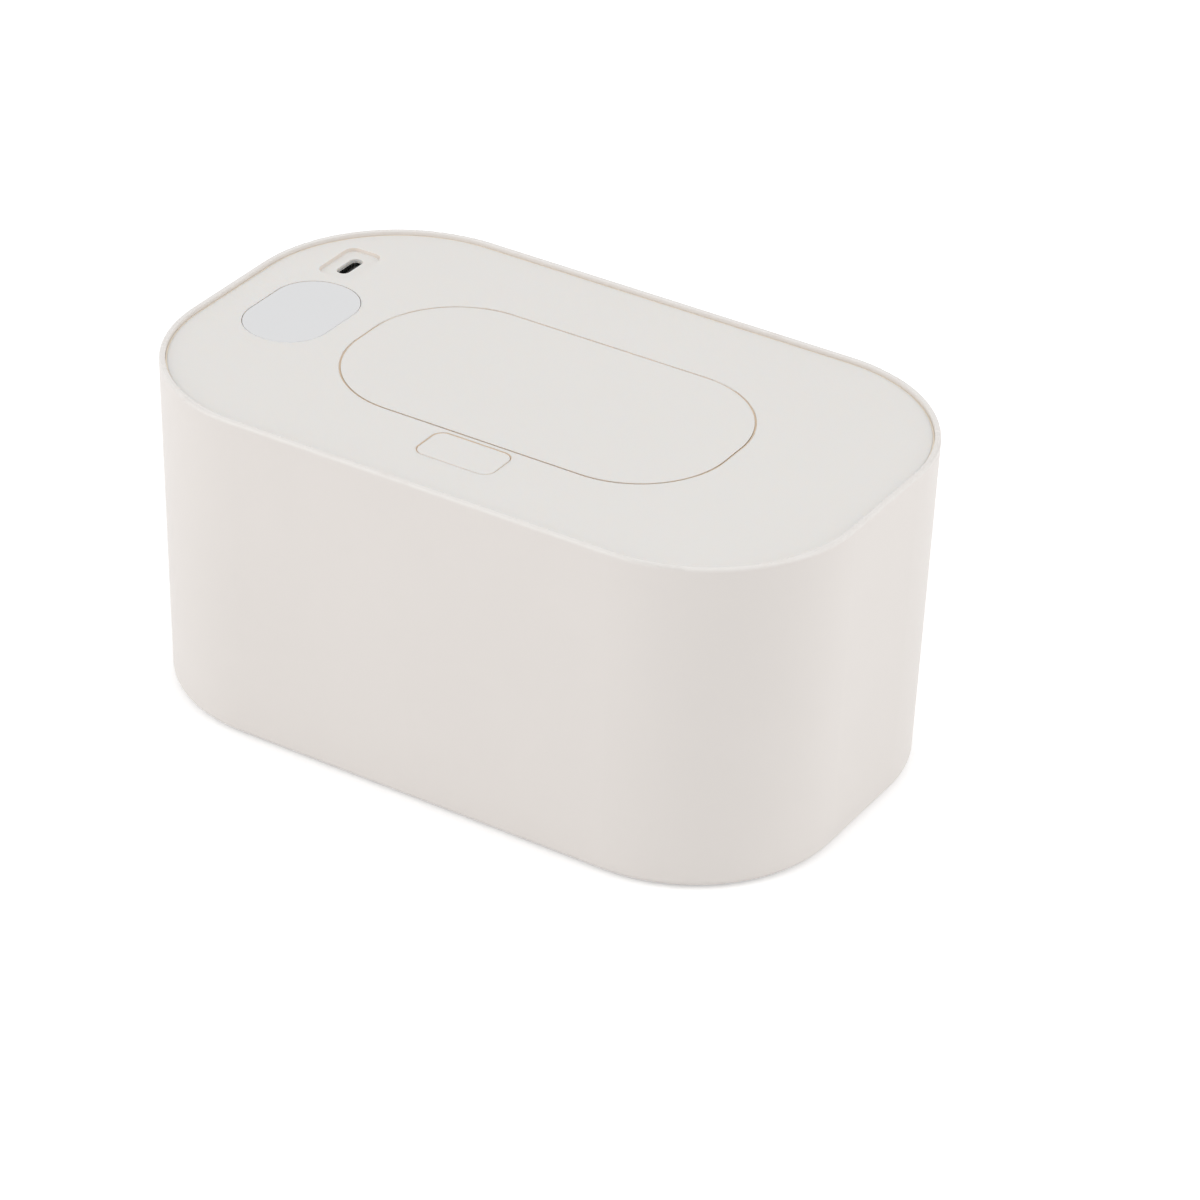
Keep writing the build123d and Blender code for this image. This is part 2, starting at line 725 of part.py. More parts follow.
with BuildPart() as latch_button:
    extrude(slab(button_plan, button_under_z, (0, button_y)), amount=button_cap)
    fillet(latch_button.faces().sort_by(Axis.Z)[-1].edges(), button_edge_fillet)
    # Skirt, and the end tabs that hold the button under the panel
    tab_top_z = panel_under_z - tab_gap
    skirt_drop = button_under_z - tab_top_z + tab_thickness
    with BuildSketch(Plane.XY.offset(tab_top_z - tab_thickness)):
        with Locations((0, button_y)):
            Rectangle(button_length + 2 * tab_reach, tab_depth)
    extrude(amount=tab_thickness)
    extrude(slab(button_plan, button_under_z, (0, button_y)), amount=-skirt_drop)
    extrude(
        slab(inset(button_plan, button_skirt), button_under_z, (0, button_y)),
        amount=-skirt_drop,
        mode=Mode.SUBTRACT,
    )
    # Seat inside the top of the spring
    extrude(discs(spring_seat_radius, button_under_z, [(0, button_y)]), amount=-spring_seat_height)
    # Cam legs: straight down, then slanted at 45 degrees towards the well
    for side in (-1, 1):
        with BuildSketch(Plane.YZ.offset(side * cam_x - cam_width / 2)):
            with BuildLine():
                Polyline(
                    (cam_y - cam_thickness / 2, button_under_z),
                    (cam_y + cam_thickness / 2, button_under_z),
                    (cam_y + cam_thickness / 2, cam_bend_z),
                    (cam_y + cam_thickness / 2 + cam_bend_z - cam_z, cam_z),
                    (cam_y - cam_thickness / 2 + cam_bend_z - cam_z, cam_z),
                    (cam_y - cam_thickness / 2, cam_bend_z),
                    close=True,
                )
            make_face()
        extrude(amount=cam_width)
finish(latch_button, "latch_button")

with BuildPart() as latch_slider:
    slider_rear_y = button_rear_y - slider_gap
    with BuildSketch(Plane.XY.offset(slider_z)):
        with Locations((0, slider_rear_y)):
            Rectangle(
                2 * (latch_half_width - slider_gap),
                slider_length,
                align=(Align.CENTER, Align.MAX),
            )
    extrude(amount=slider_top_z - slider_z)
    # Nose through the well's wall, bevelled so that the catch pushes it back
    nose_tip_y = -(well_plan[1] / 2) + nose_reach
    with BuildSketch(Plane.YZ.offset(-nose_width / 2)):
        with BuildLine():
            Polyline(
                (slider_rear_y, nose_z),
                (nose_tip_y, nose_z),
                (nose_tip_y, slider_top_z - nose_chamfer),
                (nose_tip_y - nose_chamfer, slider_top_z),
                (slider_rear_y, slider_top_z),
                close=True,
            )
        make_face()
    extrude(amount=nose_width)
    # Slanted slots that the button's cam legs run in
    for side in (-1, 1):
        with BuildSketch(Plane.YZ.offset(side * cam_x - cam_width / 2 - cam_gap)):
            with BuildLine():
                slot_half = cam_thickness / 2 + cam_gap
                slot_top_y = cam_y + cam_bend_z - slider_top_z
                slot_bottom_y = cam_y + cam_bend_z - slider_z
                Polyline(
                    (slot_top_y - slot_half, slider_top_z),
                    (slot_top_y + slot_half, slider_top_z),
                    (slot_bottom_y + slot_half, slider_z),
                    (slot_bottom_y - slot_half, slider_z),
                    close=True,
                )
            make_face()
        extrude(amount=cam_width + 2 * cam_gap, mode=Mode.SUBTRACT)
    # Opening that passes the spring over the whole travel
    spring_hole = 2 * (latch_spring_radius + latch_spring_wire + spring_slot_gap)
    with BuildSketch(Plane.XY.offset(slider_z)):
        with Locations((0, button_y + button_travel / 2)):
            SlotOverall(spring_hole + button_travel, spring_hole, rotation=90)
    extrude(amount=slider_top_z - slider_z, mode=Mode.SUBTRACT)
finish(latch_slider, "latch_slider")

# --------------------------------------------------------------------------
# Flip lid: shell with its gooseneck arms and catch, liner and seal
# --------------------------------------------------------------------------

with BuildPart() as flip_lid_shell:
    plate_z = panel_z - flip_plate
    # Plate whose edge slopes in, so that it clears the panel as it swings
    extrude(
        slab(flip_plan, panel_z),
        amount=-flip_plate,
        taper=degrees(atan2(flip_undercut, flip_plate)),
    )
    fillet(flip_lid_shell.faces().sort_by(Axis.Z)[-1].edges(), flip_edge_fillet)
    # Inner rim and the posts that the liner rests on
    extrude(slab(flip_rim_plan, plate_z), amount=-flip_rim_drop)
    extrude(slab(inset(flip_rim_plan, flip_rim_wall), plate_z), amount=-flip_rim_drop, mode=Mode.SUBTRACT)
    extrude(
        discs(flip_post_diameter / 2, plate_z, mirrored(flip_post_x, flip_post_y)),
        amount=liner_thickness - flip_rim_drop,
    )
    # Gooseneck arms: an arc about the hinge axis, then a leg up to the knuckle
    for side in (-1, 1):
        with BuildSketch(Plane.YZ.offset(side * hinge_x - arm_width / 2)):
            with Locations((hinge_y, hinge_z)):
                Circle(arm_outer)
                Circle(arm_inner, mode=Mode.SUBTRACT)
            with Locations((hinge_y + arm_leg / 2, plate_z + arm_root_height)):
                Rectangle(2 * arm_outer, 2 * arm_outer, align=(Align.MAX, Align.MAX), mode=Mode.INTERSECT)
            with Locations((hinge_y, hinge_z)):
                Rectangle(arm_leg, arm_inner + arm_thickness / 2, align=(Align.CENTER, Align.MAX))
                Circle(knuckle_radius)
                Circle(pin_radius + pin_running_gap, mode=Mode.SUBTRACT)
        extrude(amount=arm_width)
    # Catch at the front, hooked under the latch's nose
    with BuildSketch(Plane.YZ.offset(-catch_width / 2)):
        with BuildLine():
            Polyline(
                (catch_rear_y, plate_z),
                (catch_rear_y - catch_thickness, plate_z),
                (catch_rear_y - catch_thickness, catch_z + catch_height),
                (catch_front_y, catch_z + catch_height),
                (catch_front_y, catch_z + catch_chamfer),
                (catch_front_y + catch_chamfer, catch_z),
                (catch_rear_y, catch_z),
                close=True,
            )
        make_face()
    extrude(amount=catch_width)
finish(flip_lid_shell, "flip_lid_shell")

with BuildPart() as flip_lid_liner:
    liner_z = plate_z - flip_rim_drop
    extrude(slab(inset(flip_rim_plan, flip_rim_wall + liner_fit), liner_z), amount=liner_thickness)
finish(flip_lid_liner, "flip_lid_liner")

with BuildPart() as flip_seal:
    # Ring that closes on the bead round the mouth
    bead_top_z = well_z + bead_height
    extrude(slab(inset(bead_plan, -bead_width - seal_overlap), bead_top_z), amount=liner_z - bead_top_z)
    extrude(
        slab(inset(bead_plan, seal_overlap), bead_top_z),
        amount=liner_z - bead_top_z,
        mode=Mode.SUBTRACT,
    )
finish(flip_seal, "flip_seal")

# --------------------------------------------------------------------------
# Lid: underside, gasket and heater
# --------------------------------------------------------------------------

with BuildPart() as lid_underside:
    # Flange with a tray hanging from it into the tub
    extrude(slab(tray_plan, tray_under_z), amount=flange_z - tray_under_z)
    fillet(lid_underside.faces().sort_by(Axis.Z)[0].edges(), tray_edge_fillet)
    extrude(slab(lid_plan, flange_z), amount=underside_flange)
    extrude(
        slab(inset(tray_plan, tray_wall), tray_floor_z),
        amount=skirt_z - tray_floor_z,
        mode=Mode.SUBTRACT,
    )
    # Room in the flange for the cover's bosses
    extrude(
        discs(cover_boss_diameter / 2 + cover_boss_fit, flange_z, cover_screw_places),
        amount=underside_flange,
        mode=Mode.SUBTRACT,
    )
    # Posts for the cover screws, bosses for the pan's screws and the mouth's tube
    extrude(discs(cover_post_diameter / 2, tray_under_z, cover_screw_places), amount=flange_z - tray_under_z)
    extrude(discs(standoff_diameter / 2, film_z, pan_screw_places), amount=tray_under_z - film_z)
    extrude(discs(standoff_diameter / 2, tray_floor_z, pan_screw_places), amount=tray_boss_height)
    extrude(slab(inset(mouth_plan, -mouth_tube_wall), tray_floor_z), amount=well_under_z - tray_floor_z)
    extrude(slab(mouth_plan, tray_under_z), amount=well_under_z - tray_under_z, mode=Mode.SUBTRACT)
    fillet(edges_within(lid_underside, mouth_plan, tray_under_z), mouth_edge_fillet)
    # Screw holes and the hole for the leads' grommet
    extrude(
        discs(screw_head_radius + screw_fit, tray_under_z, cover_screw_places),
        amount=cover_head_z - tray_under_z,
        mode=Mode.SUBTRACT,
    )
    extrude(
        discs(screw_radius + screw_fit, cover_head_z, cover_screw_places),
        amount=cover_post_seat,
        mode=Mode.SUBTRACT,
    )
    extrude(discs(screw_radius, film_z, pan_screw_places), amount=screw_bite, mode=Mode.SUBTRACT)
    extrude(discs(grommet_neck / 2, tray_under_z, [sensor_centre]), amount=tray_floor, mode=Mode.SUBTRACT)
finish(lid_underside, "lid_underside")

with BuildPart() as lid_gasket:
    extrude(slab(gasket_plan, tub_top_z), amount=gasket_thickness)
    extrude(slab(inset(gasket_plan, gasket_width), tub_top_z), amount=gasket_thickness, mode=Mode.SUBTRACT)
finish(lid_gasket, "lid_gasket")

with BuildPart() as cover_screws:
    extrude(discs(screw_head_radius, cover_head_z, cover_screw_places), amount=-screw_head_height)
    extrude(discs(screw_radius, cover_head_z, cover_screw_places), amount=cover_post_seat + screw_bite)
finish(cover_screws, "cover_screws")

with BuildPart() as heater_plate:
    # Pressed pan, open towards the tray, with a collar round the mouth
    extrude(slab(pan_plan, pan_under_z), amount=pan_drop)
    fillet(heater_plate.faces().sort_by(Axis.Z)[0].edges(), pan_edge_fillet)
    extrude(slab(inset(pan_plan, pan_sheet), film_z), amount=tray_under_z - film_z, mode=Mode.SUBTRACT)
    extrude(slab(inset(pan_mouth, -pan_sheet), film_z), amount=tray_under_z - film_z)
    extrude(slab(pan_mouth, pan_under_z), amount=pan_drop, mode=Mode.SUBTRACT)
    with Locations(Plane((0, 0, pan_under_z), z_dir=(0, 0, -1))):
        with Locations(*[(x, -y) for x, y in pan_screw_places]):
            CounterSinkHole(screw_radius + screw_fit, pan_head_radius + screw_fit, depth=pan_sheet)
finish(heater_plate, "heater_plate")

with BuildPart() as heater_screws:
    # Countersunk heads flush with the pan
    for pan_place in pan_screw_places:
        with BuildSketch(Plane.XZ.offset(-pan_place[1])):
            with BuildLine():
                Polyline(
                    (pan_place[0], pan_under_z),
                    (pan_place[0] + pan_head_radius, pan_under_z),
                    (pan_place[0] + screw_radius, pan_under_z + pan_head_radius - screw_radius),
                    (pan_place[0] + screw_radius, film_z + screw_bite),
                    (pan_place[0], film_z + screw_bite),
                    close=True,
                )
            make_face()
        revolve(axis=Axis((pan_place[0], pan_place[1], 0), (0, 0, 1)))
finish(heater_screws, "heater_screws")

with BuildPart() as heating_film:
    extrude(slab(inset(pan_plan, film_margin), film_z), amount=film_thickness)
    extrude(slab(inset(pan_mouth, -film_margin), film_z), amount=film_thickness, mode=Mode.SUBTRACT)
    extrude(
        discs(standoff_diameter / 2 + standoff_fit, film_z, pan_screw_places),
        amount=film_thickness,
        mode=Mode.SUBTRACT,
    )
finish(heating_film, "heating_film")

with BuildPart() as insulation_pad:
    extrude(slab(inset(pan_plan, film_margin), pad_z), amount=tray_under_z - pad_z)
    extrude(slab(inset(pan_mouth, -film_margin), pad_z), amount=tray_under_z - pad_z, mode=Mode.SUBTRACT)
    extrude(
        discs(standoff_diameter / 2 + standoff_fit, pad_z, pan_screw_places),
        amount=tray_under_z - pad_z,
        mode=Mode.SUBTRACT,
    )
    # Window for the sensors and the leads
    with BuildSketch(Plane.XY.offset(pad_z)):
        with Locations(sensor_centre):
            Rectangle(pad_window_length, pad_window_depth)
    extrude(amount=tray_under_z - pad_z, mode=Mode.SUBTRACT)
finish(insulation_pad, "insulation_pad")

with BuildPart() as thermal_fuse:
    with BuildSketch(Plane.XZ.offset(-fuse_length / 2)):
        with Locations((sensor_centre[0] - sensor_spacing, pad_z + fuse_diameter / 2)):
            Circle(fuse_diameter / 2)
    extrude(amount=fuse_length)
finish(thermal_fuse, "thermal_fuse")

with BuildPart() as thermistor:
    with BuildSketch(Plane.XZ.offset(-thermistor_length / 2)):
        with Locations((sensor_centre[0] + sensor_spacing, pad_z + thermistor_diameter / 2)):
            Circle(thermistor_diameter / 2)
    extrude(amount=thermistor_length)
finish(thermistor, "thermistor")

# --------------------------------------------------------------------------
# Lid: control board, socket, display and wiring
# --------------------------------------------------------------------------

with BuildPart() as control_board:
    extrude(slab((board_depth, board_length, board_corner), board_z, board_centre), amount=board_thickness)
    extrude(
        discs(small_screw_radius + screw_fit, board_z, board_screw_places),
        amount=board_thickness,
        mode=Mode.SUBTRACT,
    )
finish(control_board, "control_board")

with BuildPart() as board_screws:
    extrude(discs(small_head_radius, board_z, board_screw_places), amount=-small_head_height)
    extrude(discs(small_screw_radius, board_z, board_screw_places), amount=board_thickness + small_bite)
finish(board_screws, "board_screws")

with BuildPart() as board_parts:
    # Controller chip, power coil and two capacitors
    parts_x = board_right_x - parts_inset
    with BuildSketch(Plane.XY.offset(board_top_z)):
        with Locations((usb_centre[0] + chip_gap + chip_size / 2, usb_centre[1])):
            Rectangle(chip_size, chip_size)
    extrude(amount=chip_height)
    with BuildSketch(Plane.XY.offset(board_top_z)):
        with Locations((parts_x, board_centre[1])):
            Rectangle(coil_size, coil_size)
    extrude(amount=coil_height)
    capacitor_places = [(parts_x, board_centre[1] + step * capacitor_offset) for step in (-1, 1)]
    extrude(discs(capacitor_radius, board_top_z, capacitor_places), amount=capacitor_height)
finish(board_parts, "board_parts")

with BuildPart() as usb_socket:
    shell_top_z = panel_under_z + usb_shell_above
    extrude(usb_slot(0, board_top_z), amount=shell_top_z - board_top_z)
    extrude(
        usb_slot(-usb_shell_wall, board_top_z + usb_shell_wall),
        amount=shell_top_z - board_top_z - usb_shell_wall,
        mode=Mode.SUBTRACT,
    )
finish(usb_socket, "usb_socket")

with BuildPart() as usb_tongue:
    with BuildSketch(Plane.XY.offset(board_top_z + usb_shell_wall)):
        with Locations(usb_centre):
            Rectangle(usb_tongue_thickness, usb_tongue_length)
    extrude(amount=shell_top_z - usb_tongue_recess - board_top_z - usb_shell_wall)
finish(usb_tongue, "usb_tongue")

with BuildPart() as display_module:
    window_under_z = panel_z - window_thickness
    with BuildSketch(Plane.XY.offset(board_top_z)):
        with Locations(window_centre):
            Rectangle(display_block_x, display_block_y)
    extrude(amount=window_under_z - display_gap - board_top_z)
finish(display_module, "display_module")

for side, side_name in ((-1, "front"), (1, "rear")):
    with BuildPart() as touch_pad:
        pad_place = (window_centre[0], window_centre[1] + side * pad_spacing / 2)
        extrude(discs(pad_diameter / 2, board_top_z, [pad_place]), amount=window_under_z - board_top_z)
    finish(touch_pad, f"touch_pad_{side_name}")

connector_centre = (board_right_x - connector_inset, sensor_centre[1])
connector_z = board_z - connector_height
with BuildPart() as lead_connector:
    with BuildSketch(Plane.XY.offset(connector_z)):
        with Locations(connector_centre):
            Rectangle(connector_depth, connector_length)
    extrude(amount=connector_height)
finish(lead_connector, "lead_connector")

with BuildPart() as lead_grommet:
    grommet_bottom_z = tray_under_z - grommet_flange
    extrude(discs(grommet_diameter / 2, grommet_bottom_z, [sensor_centre]), amount=grommet_flange)
    extrude(discs(grommet_neck / 2, tray_under_z, [sensor_centre]), amount=tray_floor)
    extrude(discs(grommet_diameter / 2, tray_floor_z, [sensor_centre]), amount=grommet_flange)
    extrude(
        discs(grommet_bore / 2, grommet_bottom_z, [sensor_centre]),
        amount=tray_floor + 2 * grommet_flange,
        mode=Mode.SUBTRACT,
    )
finish(lead_grommet, "lead_grommet")

lead_runs = (
    ("heater_leads", lead_diameter, lead_spacing, -lead_offset, -1),
    ("sensor_leads", sensor_lead_diameter, sensor_lead_spacing, sensor_lead_offset, 1),
)
for lead_name, wire_diameter, spacing, offset_x, row in lead_runs:
    with BuildPart() as leads:
        # Up from the film, across, and up into the connector
        for side in (-1, 1):
            wire_x = sensor_centre[0] + offset_x
            wire_y = sensor_centre[1] + side * spacing / 2
            end_x = connector_centre[0] + row * contact_offset
            bend_z = connector_z - lead_rise + row * lead_offset
            with BuildLine() as route:
                FilletPolyline(
                    (wire_x, wire_y, pad_z),
                    (wire_x, wire_y, bend_z),
                    (end_x, wire_y, bend_z),
                    (end_x, wire_y, connector_z),
                    radius=lead_bend,
                )
            with BuildSketch(Plane.XY.offset(pad_z)):
                with Locations((wire_x, wire_y)):
                    Circle(wire_diameter / 2)
            sweep(path=route.line)
    finish(leads, lead_name)
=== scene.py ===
"""Wipe warmer: the pieces, finishes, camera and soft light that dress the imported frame."""

import json
import math

import bpy
from mathutils import Matrix, Vector

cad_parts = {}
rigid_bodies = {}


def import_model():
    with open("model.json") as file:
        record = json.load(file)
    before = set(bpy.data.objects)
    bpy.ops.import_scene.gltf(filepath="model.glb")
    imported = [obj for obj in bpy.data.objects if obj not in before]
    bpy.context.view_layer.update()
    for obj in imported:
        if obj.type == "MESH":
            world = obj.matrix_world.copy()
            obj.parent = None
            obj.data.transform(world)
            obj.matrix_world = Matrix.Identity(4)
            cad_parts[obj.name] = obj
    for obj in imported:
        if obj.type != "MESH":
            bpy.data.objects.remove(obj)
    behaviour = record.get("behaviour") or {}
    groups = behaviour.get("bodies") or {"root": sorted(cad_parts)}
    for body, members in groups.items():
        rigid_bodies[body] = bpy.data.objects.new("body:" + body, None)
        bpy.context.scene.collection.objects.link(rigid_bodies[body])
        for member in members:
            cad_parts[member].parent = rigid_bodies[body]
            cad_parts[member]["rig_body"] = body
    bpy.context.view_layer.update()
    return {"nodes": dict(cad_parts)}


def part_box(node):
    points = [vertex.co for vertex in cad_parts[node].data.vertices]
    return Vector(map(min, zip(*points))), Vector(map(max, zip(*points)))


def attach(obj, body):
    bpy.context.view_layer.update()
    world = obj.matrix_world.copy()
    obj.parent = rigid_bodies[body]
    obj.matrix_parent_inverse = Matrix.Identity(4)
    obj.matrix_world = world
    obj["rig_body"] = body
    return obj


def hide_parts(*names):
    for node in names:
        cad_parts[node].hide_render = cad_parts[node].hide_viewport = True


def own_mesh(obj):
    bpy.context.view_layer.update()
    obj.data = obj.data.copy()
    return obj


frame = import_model()
nodes = frame["nodes"]
slot_of = {name: packed.data.materials[0].name for name, packed in nodes.items()}

bl_info = {
    "name": "Wipe warmer",
    "version": (1, 0, 0),
    "blender": (4, 5, 0),
    "location": "View3D > Sidebar > Wipe warmer",
    "description": "Builds the pieces, finishes and studio of a wipe warmer round its packed frame",
    "category": "Object",
}

MM = 0.001
ORIGIN = (0.0, 0.0, 0.0)
UNDER = Vector((0, 0, -1))
OVER = Vector((0, 0, 1))
MERGE_DISTANCE = 0.002 * MM
FLAT_ANGLE = math.radians(0.4)
SHARP_ANGLE = 40.0

LAMP_TARGET = Vector((0, 0, 0.045))

# How the finishes age: dust is rough, and plastic polished by use is smoother; those bands are also painted
# paler, which on the lit rim and edges is a painted highlight
DUST_ROUGHNESS = 0.8
WORN_AND_LIT_LIGHTNESS = 1.05
WORN_POLISH = 0.7


# -------------------- Sizes, colours and studio settings --------------------


def size_property(name, description, default):
    return bpy.props.FloatProperty(
        name=name, description=description, default=default, unit="LENGTH", precision=5
    )


def colour_property(name, description, default):
    return bpy.props.FloatVectorProperty(
        name=name, description=description, default=default, subtype="COLOR", min=0, max=1
    )


def place_property(name, description, default):
    return bpy.props.FloatVectorProperty(
        name=name, description=description, default=default, subtype="TRANSLATION", unit="LENGTH"
    )


def amount_property(name, description, default, **limits):
    return bpy.props.FloatProperty(name=name, description=description, default=default, min=0, **limits)


class WarmerSizes(bpy.types.PropertyGroup):
    """Sizes of the details that the pieces are given."""

    soft_edge: size_property("Soft edge", "Radius on the edges of the moulded inner parts", 0.2 * MM)
    fine_edge: size_property("Fine edge", "Radius on the edges of small and thin parts", 0.06 * MM)
    foot_edge: size_property("Foot edge", "Radius round the underside of each foot", 0.3 * MM)
    foot_groove: size_property("Foot groove", "Width of the grip grooves under each foot", 0.45 * MM)
    head_dome: size_property("Head dome", "Radius round the top of a pan-headed screw", 0.5 * MM)
    cross_width: size_property("Cross width", "Width of the driver cross in a screw head", 0.55 * MM)
    cross_depth: size_property("Cross depth", "Depth of the driver cross in a screw head", 0.9 * MM)
    thread_pitch: size_property("Thread pitch", "Distance from one screw thread to the next", 0.9 * MM)
    thread_depth: size_property("Thread depth", "Depth of the screw threads", 0.22 * MM)
    wire_radius: size_property("Wire radius", "Radius of the spring wire", 0.28 * MM)
    contact_width: size_property("Contact width", "Width of each contact on the tongue", 0.26 * MM)
    contact_pitch: size_property("Contact pitch", "Distance between the contacts on the tongue", 0.5 * MM)
    leg_width: size_property("Chip leg width", "Width of each leg of the controller chip", 0.4 * MM)
    seam_gap: size_property("Seam gap", "Width of the seams round the lid parts", 0.3 * MM)
    # Painted seam shade: the next six sizes place the buff strips set into the seams, which stand in for the
    # seams' shade and are no real seals
    rim_depth: size_property("Rim seal depth", "Depth of the rim seal below the panel", 0.12 * MM)
    flip_depth: size_property("Flip lid seal depth", "Depth of the flip lid's seal below the panel", 0.3 * MM)
    button_depth: size_property("Button seal depth", "Depth of the button's seal below the panel", 0.15 * MM)
    lip_height: size_property("Seam seal height", "Height of the soft seals in the seams", 0.5 * MM)
    lip_reach: size_property("Seam seal reach", "How far the soft seals reach across the seams", 0.24 * MM)
    lip_root: size_property("Seam seal root", "How deep the soft seals are set into the plastic", 0.3 * MM)
    lid_corner: size_property("Lid corner", "Corner radius of the lid's outline", 42.1 * MM)
    flip_corner: size_property("Flip lid corner", "Corner radius of the flip lid's outline", 26.2 * MM)
    button_corner: size_property("Button corner", "Corner radius of the button's outline", 3.2 * MM)


class WarmerColours(bpy.types.PropertyGroup):
    """Colours of the finishes, one for each kind of part."""

    # Painted shade: the box is the lid's plastic, made darker and warmer here for the dimmer, warmer light on
    # its side walls
    shell: colour_property("Box", "Warm white plastic of the box", (0.787, 0.744, 0.710))
    cover: colour_property("Lid", "Warm white plastic of the lid, flip lid and button", (0.797, 0.776, 0.748))
    # Painted highlight: the paler colour along the lit rim of the box, over real polish from use
    rim: colour_property("Rim", "Paler, rubbed plastic round the rim of the box", (0.818, 0.790, 0.762))
    # Painted shade: the warm, darker colour on the walls of the seams and recesses, standing in for their
    # shade
    seam: colour_property("Seams", "Warm film on the walls of the seams", (0.680, 0.595, 0.520))
    # Painted seam shade: the next two colours go on the buff strips set just under the panel in the seams,
    # coloured as the shade there
    seam_strip_shade: colour_property("Seam seals", "Soft buff seals round the lid parts", (0.760, 0.600, 0.440))
    rim_strip_shade: colour_property("Rim seal", "Soft pale seal between the lid and the rim", (0.850, 0.760, 0.630))
    window: colour_property("Window", "Pale grey acrylic over the display", (0.735, 0.738, 0.747))
    liner: colour_property("Inner parts", "Plastic of the tub and of the inner parts", (0.810, 0.795, 0.765))
    rubber: colour_property("Feet", "Rubber of the feet", (0.420, 0.415, 0.405))
    silicone: colour_property("Seals", "Silicone of the seals", (0.640, 0.640, 0.625))
    slider: colour_property("Slider", "Plastic of the latch slider", (0.690, 0.675, 0.640))
    aluminium: colour_property("Heater pan", "Pressed aluminium of the heater pan", (0.730, 0.735, 0.740))
    zinc: colour_property("Screws", "Zinc plate on the screws", (0.620, 0.630, 0.640))
    spring: colour_property("Springs", "Drawn steel of the springs and pins", (0.480, 0.485, 0.490))
    socket: colour_property("Socket", "Nickel plate on the socket's shell", (0.590, 0.590, 0.585))
    film: colour_property("Heating film", "Amber film of the heating element", (0.520, 0.200, 0.030))
    film_track: colour_property("Heating track", "Metal track inside the heating film", (0.420, 0.160, 0.060))
    felt: colour_property("Felt", "Felt pad behind the heating film", (0.560, 0.555, 0.540))
    foam: colour_property("Touch pads", "Conductive foam of the touch pads", (0.060, 0.060, 0.062))
    black: colour_property("Black parts", "Moulded black of the electronic parts", (0.020, 0.020, 0.022))
    board: colour_property("Board", "Green mask on the control board", (0.015, 0.110, 0.045))
    board_track: colour_property("Board tracks", "Tracks under the green mask", (0.030, 0.190, 0.075))
    connector: colour_property("Connector", "Milky plastic of the lead connector", (0.700, 0.680, 0.600))
    red_lead: colour_property("Heater leads", "Sleeve of the heater leads", (0.500, 0.020, 0.015))
    white_lead: colour_property("Sensor leads", "Sleeve of the sensor leads", (0.640, 0.630, 0.610))


class WarmerStudio(bpy.types.PropertyGroup):
    """Camera, floor and light."""

    camera_place: place_property("Camera place", "Where the camera stands", (0.5639, -0.8988, 0.6842))
    camera_target: place_property("Camera target", "Point that the camera looks at", (0.0180, 0.0, 0.03796))
    camera_roll: bpy.props.FloatProperty(
        name="Camera roll",
        description="Turn of the camera about its line of sight",
        default=math.radians(1.78),
        unit="ROTATION",
    )
    focal_length: amount_property("Focal length", "Focal length of the lens in millimetres", 142.6)
    floor_size: size_property("Floor size", "Length of each side of the floor", 14.0)
    floor_colour: colour_property("Floor colour", "Pale colour of the floor and backdrop", (0.90, 0.90, 0.90))
    floor_lift: amount_property("Floor lift", "Share of white that the camera sees on it", 0.30, max=1)
    sky: amount_property("Sky", "Strength of the even light from all round", 0.60)
    left_lamp: amount_property("Left lamp", "Watts of the soft lamp at the front left", 8.8)
    right_lamp: amount_property("Right lamp", "Watts of the soft lamp at the right end", 8.9)
    top_lamp: amount_property("Top lamp", "Watts of the soft lamp overhead", 2.8)


# -------------------- Making and shaping --------------------


def put_down():
    """Leaves edit mode and deselects everything."""
    if bpy.context.object and bpy.context.object.mode != "OBJECT":
        bpy.ops.object.mode_set(mode="OBJECT")
    bpy.ops.object.select_all(action="DESELECT")


def take(piece, *others):
    """Selects a piece, and others with it, as the ones to work on."""
    put_down()
    for each in (piece, *others):
        each.select_set(True)
    bpy.context.view_layer.objects.active = piece


def started(name):
    """Names the primitive just added and puts its place into its mesh."""
    piece = bpy.context.object
    piece.name = name
    piece.data.name = name
    bpy.ops.object.transform_apply(location=True, rotation=True, scale=True)
    return piece


def pick(action, kind=None):
    """Selects or deselects everything in edit mode, as faces, edges or corners where a kind is given."""
    bpy.ops.object.mode_set(mode="EDIT")
    if kind:
        bpy.ops.mesh.select_mode(type=kind)
    bpy.ops.mesh.select_all(action=action)


def pick_faces(piece, wanted):
    """Selects in edit mode the faces whose centre and normal pass a test."""
    pick("DESELECT", "FACE")
    bpy.ops.object.mode_set(mode="OBJECT")
    for face in piece.data.polygons:
        face.select = wanted(face.center, face.normal)
    bpy.ops.object.mode_set(mode="EDIT")


def pick_edges(piece, wanted):
    """Selects in edit mode the edges whose two ends pass a test."""
    pick("DESELECT", "EDGE")
    bpy.ops.object.mode_set(mode="OBJECT")
    points = piece.data.vertices
    for edge in piece.data.edges:
        edge.select = wanted(points[edge.vertices[0]].co, points[edge.vertices[1]].co)
    bpy.ops.object.mode_set(mode="EDIT")


def facing(direction, level=None):
    """A test for faces that look one way, at one height along it where that is given."""
    direction = Vector(direction)

    def passes(centre, normal):
        if normal.dot(direction) < 0.99:
            return False
        return level is None or abs(centre.dot(direction) - level) < 0.02 * MM

    return passes


def lying_under(level):
    """A test for edges that lie at or under a level."""
    return lambda first, second: max(first.z, second.z) < level + 0.01 * MM


def draw_out(x=0.0, y=0.0, z=0.0):
    """Extrudes what is selected."""
    bpy.ops.mesh.extrude_region_move(TRANSFORM_OT_translate={"value": (x, y, z)})


def widen(across, along=None):
    """Scales what is selected in plan about its own middle."""
    bpy.ops.transform.resize(value=(across, across if along is None else along, 1))


